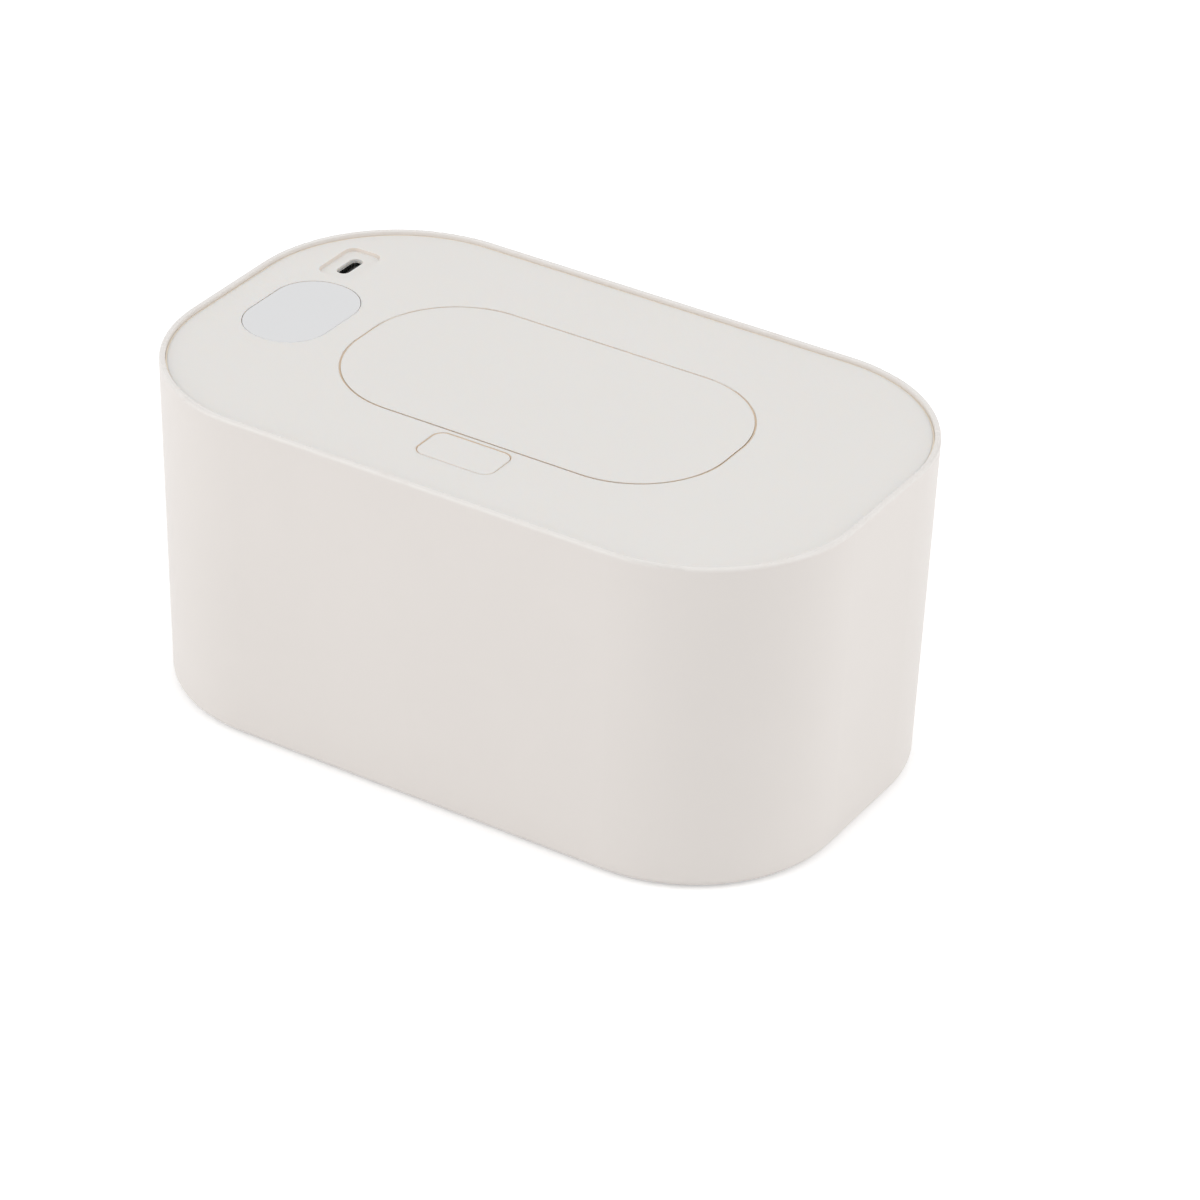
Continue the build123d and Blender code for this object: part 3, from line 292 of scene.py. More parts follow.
def step_in(amount, rise=0.0):
    """Insets the selected faces and moves them along their normal."""
    bpy.ops.mesh.inset(thickness=amount, depth=rise, use_even_offset=True, use_boundary=True)


def tidy_mesh(piece):
    """Merges doubles and points the faces outwards."""
    take(piece)
    pick("SELECT", "VERT")
    bpy.ops.mesh.remove_doubles(threshold=MERGE_DISTANCE)
    bpy.ops.mesh.normals_make_consistent(inside=False)
    bpy.ops.object.mode_set(mode="OBJECT")


def apply_modifier(piece, kind, **settings):
    """Gives a piece one modifier and applies it."""
    take(piece)
    modifier = piece.modifiers.new(kind.title(), kind)
    for setting, value in settings.items():
        setattr(modifier, setting, value)
    bpy.ops.object.modifier_apply(modifier=modifier.name)


def smooth(piece, angle):
    """Shades faces smoothly where they meet at less than an angle in degrees, and keeps flat faces flat."""
    take(piece)
    bpy.ops.object.shade_smooth_by_angle(angle=math.radians(angle))
    apply_modifier(piece, "WEIGHTED_NORMAL", keep_sharp=True, weight=100)


def round_edges(piece, width, segments, angle):
    """Rounds the edges of a piece where faces meet at more than an angle in degrees."""
    apply_modifier(
        piece,
        "BEVEL",
        width=width,
        segments=segments,
        limit_method="ANGLE",
        angle_limit=math.radians(angle),
        use_clamp_overlap=True,
    )


def copied(piece, name, shift=(0, 0, 0)):
    """A copy of a piece with its own mesh, moved by a shift."""
    copy = piece.copy()
    copy.data = piece.data.copy()
    copy.name = name
    copy.data.name = name
    bpy.context.scene.collection.objects.link(copy)
    take(copy)
    copy.location = shift
    bpy.ops.object.transform_apply(location=True, rotation=False, scale=False)
    return copy


def joined(name, pieces):
    """Several pieces made into one."""
    take(*pieces)
    bpy.ops.object.join()
    piece = bpy.context.object
    piece.name = name
    piece.data.name = name
    return piece


def cut(piece, cutter):
    """Takes a cutter's shape out of a piece and throws the cutter away."""
    apply_modifier(piece, "BOOLEAN", operation="DIFFERENCE", solver="EXACT", object=cutter)
    bpy.data.objects.remove(cutter)


def copy_of_node(name):
    """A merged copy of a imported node's mesh, as a piece of its own."""
    copy = bpy.data.objects.new(name + "_dressed", nodes[name].data.copy())
    copy.data.name = copy.name
    bpy.context.scene.collection.objects.link(copy)
    take(copy)
    if copy.data.has_custom_normals:
        bpy.ops.mesh.customdata_custom_splitnormals_clear()
    pick("SELECT")
    bpy.ops.mesh.remove_doubles(threshold=MERGE_DISTANCE)
    bpy.ops.mesh.dissolve_limited(angle_limit=FLAT_ANGLE)
    bpy.ops.object.mode_set(mode="OBJECT")
    return copy


def extent(points):
    """The lowest and highest corner of some mesh points."""
    places = [point.co for point in points]
    return [Vector(most(place[axis] for place in places) for axis in range(3)) for most in (min, max)]


def solid_boxes(name):
    """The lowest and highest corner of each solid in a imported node, from left to right and front to back."""
    copy_of_node(name)
    bpy.ops.mesh.separate(type="LOOSE")
    found = []
    for part in list(bpy.context.selected_objects):
        found.append(extent(part.data.vertices))
        bpy.data.objects.remove(part)
    return sorted(found, key=lambda box: (round(box[0].x, 4), round(box[0].y, 4)))


def settle(piece, packed_name, slot=None):
    """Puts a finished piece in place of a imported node, on the same body and in the same finish."""
    slot = slot or slot_of[packed_name]
    piece.data.materials.clear()
    piece.data.materials.append(finish_of(slot))
    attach(piece, nodes[packed_name]["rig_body"])
    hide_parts(packed_name)


def trim(piece, packed_name, slot, finish=None):
    """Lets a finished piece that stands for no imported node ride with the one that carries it."""
    piece.data.materials.append(finish_of(finish or slot))
    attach(piece, nodes[packed_name]["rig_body"])


def finish_of(slot):
    """The finish made for one of the record's material slots, or for a painted seam shade strip."""
    return bpy.data.materials["finish_" + slot]


# -------------------- Shared effects of the finishes --------------------


def feed(tree, inputs, values):
    """Links sockets to a node's inputs, or sets plain values on them."""
    for name, value in values.items():
        if isinstance(value, bpy.types.NodeSocket):
            tree.links.new(value, inputs[name])
        else:
            inputs[name].default_value = value


def node(tree, kind, values=None, **settings):
    """Adds a shader node with its settings and what its inputs are given."""
    made = tree.nodes.new(kind)
    for setting, value in settings.items():
        setattr(made, setting, value)
    feed(tree, made.inputs, values or {})
    return made


def only(tree, kind):
    """The one node of its kind in a tree."""
    return next(each for each in tree.nodes if each.type == kind)


def calc(tree, operation, *values, clamp=False):
    """The result of a sum on sockets and plain numbers."""
    terms = dict(enumerate(values))
    return node(tree, "ShaderNodeMath", terms, operation=operation, use_clamp=clamp).outputs[0]


def ranged(tree, value, low, high, first=0.0, last=1.0):
    """A value carried from one range to another and held inside it."""
    limits = {"Value": value, "From Min": low, "From Max": high, "To Min": first, "To Max": last}
    return node(tree, "ShaderNodeMapRange", limits, clamp=True).outputs["Result"]


def noise(tree, place, scale, detail, roughness):
    """Cloudy noise between 0 and 1."""
    values = {"Vector": place, "Scale": scale, "Detail": detail, "Roughness": roughness}
    return node(tree, "ShaderNodeTexNoise", values).outputs["Fac"]


def upward(tree, vector):
    """How far a vector points or lies upwards."""
    return node(tree, "ShaderNodeSeparateXYZ", {"Vector": vector}).outputs["Z"]


def mixed(tree, low, high, mask, kind="FLOAT"):
    """Mixes from a low value or socket to a high one by a mask."""
    blend = node(tree, "ShaderNodeMix", {"Factor": mask}, data_type=kind)
    feed(tree, {each.name: each for each in blend.inputs if each.enabled}, {"A": low, "B": high})
    return next(each for each in blend.outputs if each.enabled)


def effect(name, outputs, **inputs):
    """Starts a shader node group, and gives it, its inputs and its outputs."""
    group = bpy.data.node_groups.new(name, "ShaderNodeTree")
    kinds = {1: "NodeSocketFloat", 3: "NodeSocketVector", 4: "NodeSocketColor"}
    for socket, default in inputs.items():
        size = len(default) if isinstance(default, tuple) else 1
        made = group.interface.new_socket(name=socket, in_out="INPUT", socket_type=kinds[size])
        made.default_value = default
    for socket in outputs:
        kind = kinds[4 if socket == "Colour" else 1]
        group.interface.new_socket(name=socket, in_out="OUTPUT", socket_type=kind)
    return group, group.nodes.new("NodeGroupInput").outputs, group.nodes.new("NodeGroupOutput").inputs


def moulded_grain():
    """Fine moulded texture with slow drifts of polish."""
    group, given, end = effect(
        "Moulded grain", ("Height", "Roughness"), Place=ORIGIN, Scale=1500.0, Polished=0.35, Dull=0.5
    )
    fine = noise(group, given["Place"], given["Scale"], 3.0, 0.6)
    slow = noise(group, given["Place"], 28.0, 4.0, 0.55)
    both = calc(group, "MULTIPLY_ADD", fine, 0.35, calc(group, "MULTIPLY", slow, 0.65))
    roughness = ranged(group, both, 0.25, 0.75, given["Polished"], given["Dull"])
    feed(group, end, {"Height": fine, "Roughness": roughness})


def colour_drift():
    """Slow drift between two close colours."""
    group, given, end = effect(
        "Colour drift", ("Colour",), Place=ORIGIN, Scale=18.0, Colour=(1, 1, 1, 1), Shade=(0.9, 0.9, 0.9, 1)
    )
    drift = ranged(group, noise(group, given["Place"], given["Scale"], 3.0, 0.5), 0.35, 0.65)
    feed(group, end, {"Colour": mixed(group, given["Colour"], given["Shade"], drift, "RGBA")})


def edge_wear_and_highlight():
    """Patchy band along an edge at one height, for polish from use and for painted highlights on lit edges."""
    group, given, end = effect(
        "Edge wear", ("Mask",), Place=ORIGIN, Height=0.095, Reach=0.001, Scale=160.0, Spared=0.42
    )
    away = calc(group, "ABSOLUTE", calc(group, "SUBTRACT", upward(group, given["Place"]), given["Height"]))
    near = calc(group, "SUBTRACT", 1.0, calc(group, "DIVIDE", away, given["Reach"]), clamp=True)
    patches = noise(group, given["Place"], given["Scale"], 5.0, 0.65)
    broken = ranged(group, patches, given["Spared"], calc(group, "ADD", given["Spared"], 0.2))
    feed(group, end, {"Mask": calc(group, "MULTIPLY", near, broken, clamp=True)})


def settled_dust():
    """Thin dust on faces that look up."""
    group, given, end = effect("Settled dust", ("Mask",), Place=ORIGIN, Scale=60.0, Amount=0.2)
    normal = node(group, "ShaderNodeNewGeometry").outputs["Normal"]
    level = ranged(group, upward(group, normal), 0.6, 1.0)
    patches = ranged(group, noise(group, given["Place"], given["Scale"], 6.0, 0.7), 0.45, 0.75)
    thin = calc(group, "MULTIPLY", level, patches)
    feed(group, end, {"Mask": calc(group, "MULTIPLY", thin, given["Amount"], clamp=True)})


def seam_shade():
    """Painted shade: a warm, darker tone on the upright walls of the seams and recesses, just under the level
    that they open at.
    """
    group, given, end = effect(
        "Seam shade", ("Mask",),
        Place=ORIGIN, Facing=ORIGIN, Level=0.0939, Lip=0.06 * MM, Depth=1.0 * MM, Amount=0.75,
    )
    upright = ranged(group, upward(group, given["Facing"]), 0.5, 0.95, 1.0, 0.0)
    below = calc(group, "SUBTRACT", given["Level"], upward(group, given["Place"]))
    opens = ranged(group, below, 0.0, given["Lip"])
    fades = ranged(group, calc(group, "DIVIDE", below, given["Depth"]), 0.75, 1.0, 1.0, 0.0)
    walls = calc(group, "MULTIPLY", calc(group, "MULTIPLY", opens, fades), upright)
    feed(group, end, {"Mask": calc(group, "MULTIPLY", walls, given["Amount"], clamp=True)})


def drawn_metal():
    """Fine lines of drawn or brushed metal along one direction."""
    group, given, end = effect(
        "Drawn metal", ("Height", "Roughness"),
        Place=ORIGIN, Stretch=(120.0, 2500.0, 2500.0), Polished=0.22, Dull=0.42,
    )
    stretched = node(
        group, "ShaderNodeVectorMath", {0: given["Place"], 1: given["Stretch"]}, operation="MULTIPLY"
    ).outputs["Vector"]
    lines = noise(group, stretched, 1.0, 4.0, 0.6)
    roughness = ranged(group, lines, 0.3, 0.7, given["Polished"], given["Dull"])
    feed(group, end, {"Height": lines, "Roughness": roughness})


def placed(tree, coordinates, effect_name, **values):
    """The outputs of a shared effect that is placed in a material with its own values."""
    made = node(tree, "ShaderNodeGroup", values, node_tree=bpy.data.node_groups[effect_name])
    feed(tree, made.inputs, {"Place": coordinates["Object"]})
    if "Facing" in made.inputs:
        feed(tree, made.inputs, {"Facing": coordinates["Normal"]})
    return made.outputs


def shaded(colour, factor=1.0):
    """A colour made darker or lighter, with its alpha."""
    return (*[min(1.0, channel * factor) for channel in colour], 1.0)


def opened(slot):
    """A new material's node tree, shader and coordinates."""
    material = bpy.data.materials.new("finish_" + slot)
    material.use_nodes = True
    tree = material.node_tree
    return tree, only(tree, "BSDF_PRINCIPLED"), node(tree, "ShaderNodeTexCoord").outputs


def drifting(tree, coordinates, colour, drift, **scale):
    """A colour that drifts slowly to a share of itself."""
    shade = shaded(colour, drift)
    return placed(tree, coordinates, "Colour drift", Colour=shaded(colour), Shade=shade, **scale)["Colour"]


def surfaced(tree, shader, base, roughness, height, strength, depth):
    """Gives a shader its colour, its roughness and a relief."""
    bump = node(tree, "ShaderNodeBump", {"Strength": strength, "Distance": depth, "Height": height})
    feed(tree, shader.inputs, {"Normal": bump.outputs["Normal"], "Base Color": base, "Roughness": roughness})


def plastic(
    slot, colour, polished, dull, scale=1500.0, depth=0.012,
    wear=None, rubbed=None, seam=None, drift=0.975, dust=0.12, coat=0.0, glow=0.0,
):
    """Moulded plastic, rubber or silicone: grain, colour drift, a paler band along an edge (polish from use,
    and a painted highlight on lit edges), painted seam shade and dust.
    """
    tree, shader, coordinates = opened(slot)
    grain = placed(tree, coordinates, "Moulded grain", Scale=scale, Polished=polished, Dull=dull)
    base = drifting(tree, coordinates, colour, drift)
    dusted = placed(tree, coordinates, "Settled dust", Amount=dust)
    roughness = mixed(tree, grain["Roughness"], DUST_ROUGHNESS, dusted["Mask"])
    if wear:
        height, reach, spared = wear
        worn_and_lit = placed(tree, coordinates, "Edge wear", Height=height, Reach=reach, Spared=spared)["Mask"]
        # The band is painted paler: on lit edges, such as the rim of the box, a painted highlight over real
        # polish from use
        worn_and_lit_colour = shaded(rubbed) if rubbed else shaded(colour, WORN_AND_LIT_LIGHTNESS)
        base = mixed(tree, base, worn_and_lit_colour, worn_and_lit, "RGBA")
        roughness = mixed(tree, roughness, polished * WORN_POLISH, worn_and_lit)
    # Painted shade: the upright walls just under a level, where the seams and recesses open, take a warm,
    # darker colour
    if seam:
        level, tone = seam
        shade = placed(tree, coordinates, "Seam shade", Level=level)["Mask"]
        base = mixed(tree, base, shaded(tone), shade, "RGBA")
    surfaced(tree, shader, base, roughness, grain["Height"], 0.35, depth * MM)
    constants = {
        "IOR": 1.47,
        "Coat Weight": coat,
        "Coat Roughness": 0.08,
        "Subsurface Weight": glow,
        "Subsurface Radius": (1.0, 0.8, 0.65),
        "Subsurface Scale": 1.6 * MM,
    }
    feed(tree, shader.inputs, constants)


def metal(slot, colour, polished, dull, stretch, patches=220.0, drift=0.86):
    """Drawn, pressed or plated metal with fine lines and dulled patches."""
    tree, shader, coordinates = opened(slot)
    lines = placed(tree, coordinates, "Drawn metal", Stretch=stretch, Polished=polished, Dull=dull)
    base = drifting(tree, coordinates, colour, drift, Scale=patches)
    surfaced(tree, shader, base, lines["Roughness"], lines["Height"], 0.4, 0.004 * MM)
    feed(tree, shader.inputs, {"Metallic": 1.0})


def banded(slot, colour, track, pitch, direction):
    """A board or film with parallel tracks showing under its surface."""
    tree, shader, coordinates = opened(slot)
    grain = placed(tree, coordinates, "Moulded grain", Scale=2200.0, Polished=0.3, Dull=0.45)
    bands = node(
        tree,
        "ShaderNodeTexWave",
        {"Vector": coordinates["Object"], "Scale": math.pi / (10 * pitch), "Distortion": 0.0},
        wave_type="BANDS",
        bands_direction=direction,
        wave_profile="SIN",
    )
    raised = ranged(tree, bands.outputs["Fac"], 0.62, 0.70)
    base = mixed(tree, drifting(tree, coordinates, colour, 0.88, Scale=90.0), shaded(track), raised, "RGBA")
    surfaced(tree, shader, base, grain["Roughness"], raised, 0.5, 0.03 * MM)


def fibrous(slot, colour, scale=900.0):
    """Felt or foam: matted fibres with open, darker hollows."""
    tree, shader, coordinates = opened(slot)
    matted = (scale, scale * 3.5, scale * 2.2)
    fibres = placed(tree, coordinates, "Drawn metal", Stretch=matted, Polished=0.85, Dull=1.0)
    light, dark = shaded(colour, 1.08), shaded(colour, 0.72)
    base = placed(tree, coordinates, "Colour drift", Scale=420.0, Colour=light, Shade=dark)["Colour"]
    surfaced(tree, shader, base, fibres["Roughness"], fibres["Height"], 0.9, 0.15 * MM)


# -------------------- Parts that several pieces share --------------------


def block(name, middle, size):
    """A plain block to shape further."""
    put_down()
    bpy.ops.mesh.primitive_cube_add(size=1, location=middle)
    bpy.context.object.scale = size
    return started(name)


def drum(name, sides, radius, low, high, middle=(0, 0)):
    """A plain upright drum to shape further, between two levels."""
    put_down()
    bpy.ops.mesh.primitive_cylinder_add(
        vertices=sides, radius=radius, depth=high - low, location=(*middle, (low + high) / 2)
    )
    return started(name)


def bevel_edges(width, segments):
    """Rounds the selected edges."""
    bpy.ops.mesh.bevel(offset=width, segments=segments, profile=0.5, affect="EDGES")


def driver_cross(sizes, radius):
    """The cross that a screwdriver turns, pointing up from the underside of a head at z 0."""
    arm = radius * 0.58 - sizes.cross_width / 2
    overrun = 0.1 * MM
    cross = block(
        "driver_cross",
        (0, 0, sizes.cross_depth / 2 - overrun / 2),
        (sizes.cross_width, sizes.cross_width, sizes.cross_depth + overrun),
    )
    for way in ((1, 0), (-1, 0), (0, 1), (0, -1)):
        pick_faces(cross, facing((*way, 0), sizes.cross_width / 2))
        draw_out(way[0] * arm, way[1] * arm)
    pick_faces(cross, facing(OVER))
    widen(0.55)
    put_down()
    return cross


def screw(sizes, head_radius, head_height, shank_radius, length, countersunk=False):
    """One screw that stands head down on z 0: a crossed head and a threaded shank."""
    piece = drum("screw", 40, head_radius, 0, head_height)
    if countersunk:
        pick_faces(piece, facing(OVER))
        widen(shank_radius / head_radius)
    else:
        pick_edges(piece, lying_under(0))
        bevel_edges(sizes.head_dome, 4)
        pick_faces(piece, facing(OVER, head_height))
        step_in(head_radius - shank_radius)
    core = (shank_radius - sizes.thread_depth) / shank_radius
    threads = int((length - head_height) / sizes.thread_pitch) - 1
    for _ in range(threads):
        for share, width in ((0.15, core), (0.4, 1.0), (0.35, 1 / core), (0.1, 1.0)):
            draw_out(z=sizes.thread_pitch * share)
            if width != 1.0:
                widen(width)
    draw_out(z=length - head_height - threads * sizes.thread_pitch)
    tip_width = 0.35
    widen(tip_width)
    put_down()
    cut(piece, driver_cross(sizes, head_radius))
    tidy_mesh(piece)
    smooth(piece, 32)
    return piece


def screws_for(node_name, sizes, head_radius, head_height, shank_radius, countersunk=False):
    """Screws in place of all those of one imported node."""
    boxes = solid_boxes(node_name)
    low, high = boxes[0]
    first = screw(sizes, head_radius, head_height, shank_radius, high.z - low.z, countersunk)
    places = [((a.x + b.x) / 2, (a.y + b.y) / 2, a.z) for a, b in boxes]
    copies = [copied(first, f"{node_name}_{index}", place) for index, place in enumerate(places)]
    bpy.data.objects.remove(first)
    settle(joined(node_name + "_set", copies), node_name)


def soften(node_name, width, segments=2):
    """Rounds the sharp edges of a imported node, on a merged copy that takes its place."""
    piece = copy_of_node(node_name)
    round_edges(piece, width, segments, SHARP_ANGLE)
    smooth(piece, SHARP_ANGLE)
    settle(piece, node_name)


# -------------------- Operators --------------------


class WARMER_OT_studio(bpy.types.Operator):
    """Sets up the floor, the even light from all round, three soft lamps and the camera"""

    bl_idname = "warmer.studio"
    bl_label = "Studio"

    def execute(self, context):
        studio = context.scene.warmer_studio
        put_down()
        bpy.ops.mesh.primitive_plane_add(size=studio.floor_size)
        floor = started("floor")
        floor.data.materials.append(self.floor_finish(studio))
        self.sky(context.scene, studio)
        for name, place, side in (
            ("left_lamp", (-0.85, -1.15, 0.75), 1.3),
            ("right_lamp", (1.25, 0.35, 0.65), 1.8),
            ("top_lamp", (-0.1, 0.25, 1.5), 1.4),
        ):
            self.lamp(name, place, side, getattr(studio, name))
        self.camera(context.scene, studio)
        context.scene.view_settings.view_transform = "Standard"
        return {"FINISHED"}

    def floor_finish(self, studio):
        """Pale floor that the camera sees a little brighter, with the shadow left in it."""
        material = bpy.data.materials.new("finish_floor")
        material.use_nodes = True
        tree = material.node_tree
        shader = only(tree, "BSDF_PRINCIPLED")
        plain = {"Base Color": (*studio.floor_colour, 1), "Roughness": 0.9, "Specular IOR Level": 0.0}
        feed(tree, shader.inputs, plain)
        strength = calc(tree, "MULTIPLY", self.seen_directly(tree), studio.floor_lift)
        lift = node(tree, "ShaderNodeEmission", {"Color": (1, 1, 1, 1), "Strength": strength})
        both = node(tree, "ShaderNodeAddShader", {0: shader.outputs["BSDF"], 1: lift.outputs["Emission"]})
        feed(tree, only(tree, "OUTPUT_MATERIAL").inputs, {"Surface": both.outputs["Shader"]})
        return material

    def seen_directly(self, tree):
        """One for what the camera, a reflection or a clear part shows, and zero for light."""
        path = node(tree, "ShaderNodeLightPath").outputs
        shown = calc(tree, "MAXIMUM", path["Is Camera Ray"], path["Is Glossy Ray"])
        return calc(tree, "MAXIMUM", shown, path["Is Transmission Ray"])

    def sky(self, scene, studio):
        """White all round to the eye, and even, dimmer light on the object."""
        world = bpy.data.worlds.new("sky")
        scene.world = world
        world.use_nodes = True
        tree = world.node_tree
        strength = ranged(tree, self.seen_directly(tree), 0.0, 1.0, studio.sky, 1.0)
        feed(tree, only(tree, "BACKGROUND").inputs, {"Color": (1, 1, 1, 1), "Strength": strength})

    def lamp(self, name, place, side, power):
        """One soft square lamp that faces the object."""
        bpy.ops.object.light_add(type="AREA", location=place)
        lamp = bpy.context.object
        lamp.name = name
        lamp.data.name = name
        lamp.data.shape = "SQUARE"
        lamp.data.size = side
        lamp.data.energy = power
        away = Vector(place) - LAMP_TARGET
        lamp.rotation_euler = away.to_track_quat("Z", "Y").to_euler()

    def camera(self, scene, studio):
        """Camera at the set place and roll, aimed at its target."""
        bpy.ops.object.camera_add()
        camera = bpy.context.object
        camera.name = "camera"
        camera.data.lens = studio.focal_length
        camera.data.sensor_width = 36.0
        camera.data.clip_end = 50.0
        place = Vector(studio.camera_place)
        back = (place - Vector(studio.camera_target)).normalized()
        level = OVER.cross(back).normalized()
        upright = back.cross(level)
        roll = studio.camera_roll
        right = level * math.cos(roll) + upright * math.sin(roll)
        up = upright * math.cos(roll) - level * math.sin(roll)
        turn = Matrix((right, up, back)).transposed().to_4x4()
        camera.matrix_world = Matrix.Translation(place) @ turn
        scene.camera = camera


class WARMER_OT_finishes(bpy.types.Operator):
    """Makes the shared effects and every finish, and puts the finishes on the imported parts"""

    bl_idname = "warmer.finishes"
    bl_label = "Finishes"

    def execute(self, context):
        colours = context.scene.warmer_colours
        for make in (moulded_grain, colour_drift, edge_wear_and_highlight, settled_dust, seam_shade, drawn_metal):
            make()
        foot, top = (corner.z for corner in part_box("base_shell"))
        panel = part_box("top_cover")[1].z
        tub_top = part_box("wipe_tub")[1].z
        spared = 0.42
        silicone = {"scale": 900.0, "depth": 0.01}
        # The box: its colour is painted shade for its side walls, and its paler band along the rim top a
        # painted highlight
        plastic(
            "shell_plastic", colours.shell, 0.36, 0.46,
            wear=(top, 1.2 * MM, 0.3), rubbed=colours.rim, drift=0.988,
        )
        # The lid: a paler band round the edges of its openings, a painted highlight with polish from use, and
        # painted shade on the walls of its seams and recesses
        plastic(
            "cover_plastic", colours.cover, 0.34, 0.44, wear=(panel - 0.25 * MM, 0.22 * MM, spared),
            seam=(panel, colours.seam), drift=0.994, dust=0.05, glow=0.35,
        )
        plastic(
            "window_acrylic", colours.window, 0.12, 0.2,
            scale=700.0, depth=0.004, drift=0.99, dust=0.03, coat=0.4,
        )
        plastic("liner_plastic", colours.liner, 0.4, 0.55, wear=(tub_top, 1.0 * MM, spared))
        plastic("slider_plastic", colours.slider, 0.3, 0.42, dust=0.0)
        plastic(
            "foot_rubber", colours.rubber, 0.6, 0.85,
            scale=2600.0, depth=0.03, wear=(0.0, foot, spared), drift=0.88,
        )
        plastic("seal_silicone", colours.silicone, 0.42, 0.6, drift=0.94, **silicone)
        # Painted seam shade: finishes of the buff strips in the seams
        plastic("seam_silicone", colours.seam_strip_shade, 0.5, 0.65, drift=0.94, dust=0.0, **silicone)
        plastic("rim_silicone", colours.rim_strip_shade, 0.5, 0.65, drift=0.96, dust=0.0, **silicone)
        plastic("part_black", colours.black, 0.42, 0.6, scale=3200.0, depth=0.02, drift=0.8)
        plastic("connector_plastic", colours.connector, 0.35, 0.5, drift=0.94)
        plastic("lead_red", colours.red_lead, 0.38, 0.5, scale=1200.0, drift=0.9, dust=0.0)
        plastic("lead_white", colours.white_lead, 0.38, 0.5, scale=1200.0, drift=0.93, dust=0.0)
        pressed = (120.0, 2500.0, 2500.0)
        metal("pan_aluminium", colours.aluminium, 0.28, 0.38, pressed, patches=30.0, drift=0.96)
        metal("zinc_steel", colours.zinc, 0.25, 0.45, (1400.0, 1400.0, 4000.0))
        metal("spring_steel", colours.spring, 0.2, 0.36, (900.0, 900.0, 5000.0))
        metal("socket_steel", colours.socket, 0.18, 0.34, (3000.0, 3000.0, 300.0))
        banded("film_polyimide", colours.film, colours.film_track, 4.2 * MM, "Y")
        banded("board_green", colours.board, colours.board_track, 1.6 * MM, "X")
        fibrous("pad_felt", colours.felt)
        fibrous("pad_foam", colours.foam, 1600.0)
        for name, packed in nodes.items():
            packed.material_slots[0].material = finish_of(slot_of[name])
        return {"FINISHED"}


class WARMER_OT_feet(bpy.types.Operator):
    """Makes the four rubber feet, each with grip grooves under it"""

    bl_idname = "warmer.feet"
    bl_label = "Feet"

    def execute(self, context):
        sizes = context.scene.warmer_sizes
        names = ("foot_front_left", "foot_rear_left", "foot_front_right", "foot_rear_right")
        low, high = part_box(names[0])
        radius = (high.x - low.x) / 2
        land = radius * 0.12
        slope = 0.08 * MM
        foot = drum("foot", 72, radius, low.z, high.z)
        pick_edges(foot, lying_under(low.z))
        bevel_edges(sizes.foot_edge, 4)
        pick_faces(foot, facing(UNDER, -low.z))
        step_in(land)
        for _ in range(3):
            step_in(slope, -sizes.foot_groove / 2)
            step_in(sizes.foot_groove)
            step_in(slope, sizes.foot_groove / 2)
            step_in(land)
        put_down()
        tidy_mesh(foot)
        smooth(foot, 34)
        for name in names:
            corner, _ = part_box(name)
            shift = (corner.x + radius, corner.y + radius, 0)
            settle(copied(foot, name + "_pad", shift), name)
        bpy.data.objects.remove(foot)
        return {"FINISHED"}


class WARMER_OT_screws(bpy.types.Operator):
    """Makes every screw, with a driver cross in its head and threads on its shank"""

    bl_idname = "warmer.screws"
    bl_label = "Screws"

    def execute(self, context):
        sizes = context.scene.warmer_sizes
        case_screw = (2.3 * MM, 1.7 * MM, 1.25 * MM)
        small_screw = (1.9 * MM, 1.4 * MM, 1.0 * MM)
        screws_for("tub_screws", sizes, *case_screw)
        screws_for("cover_screws", sizes, *case_screw)
        screws_for("board_screws", sizes, *small_screw)
        screws_for("latch_screws", sizes, *small_screw)
        screws_for("heater_screws", sizes, 2.2 * MM, 0.95 * MM, 1.25 * MM, countersunk=True)
        return {"FINISHED"}


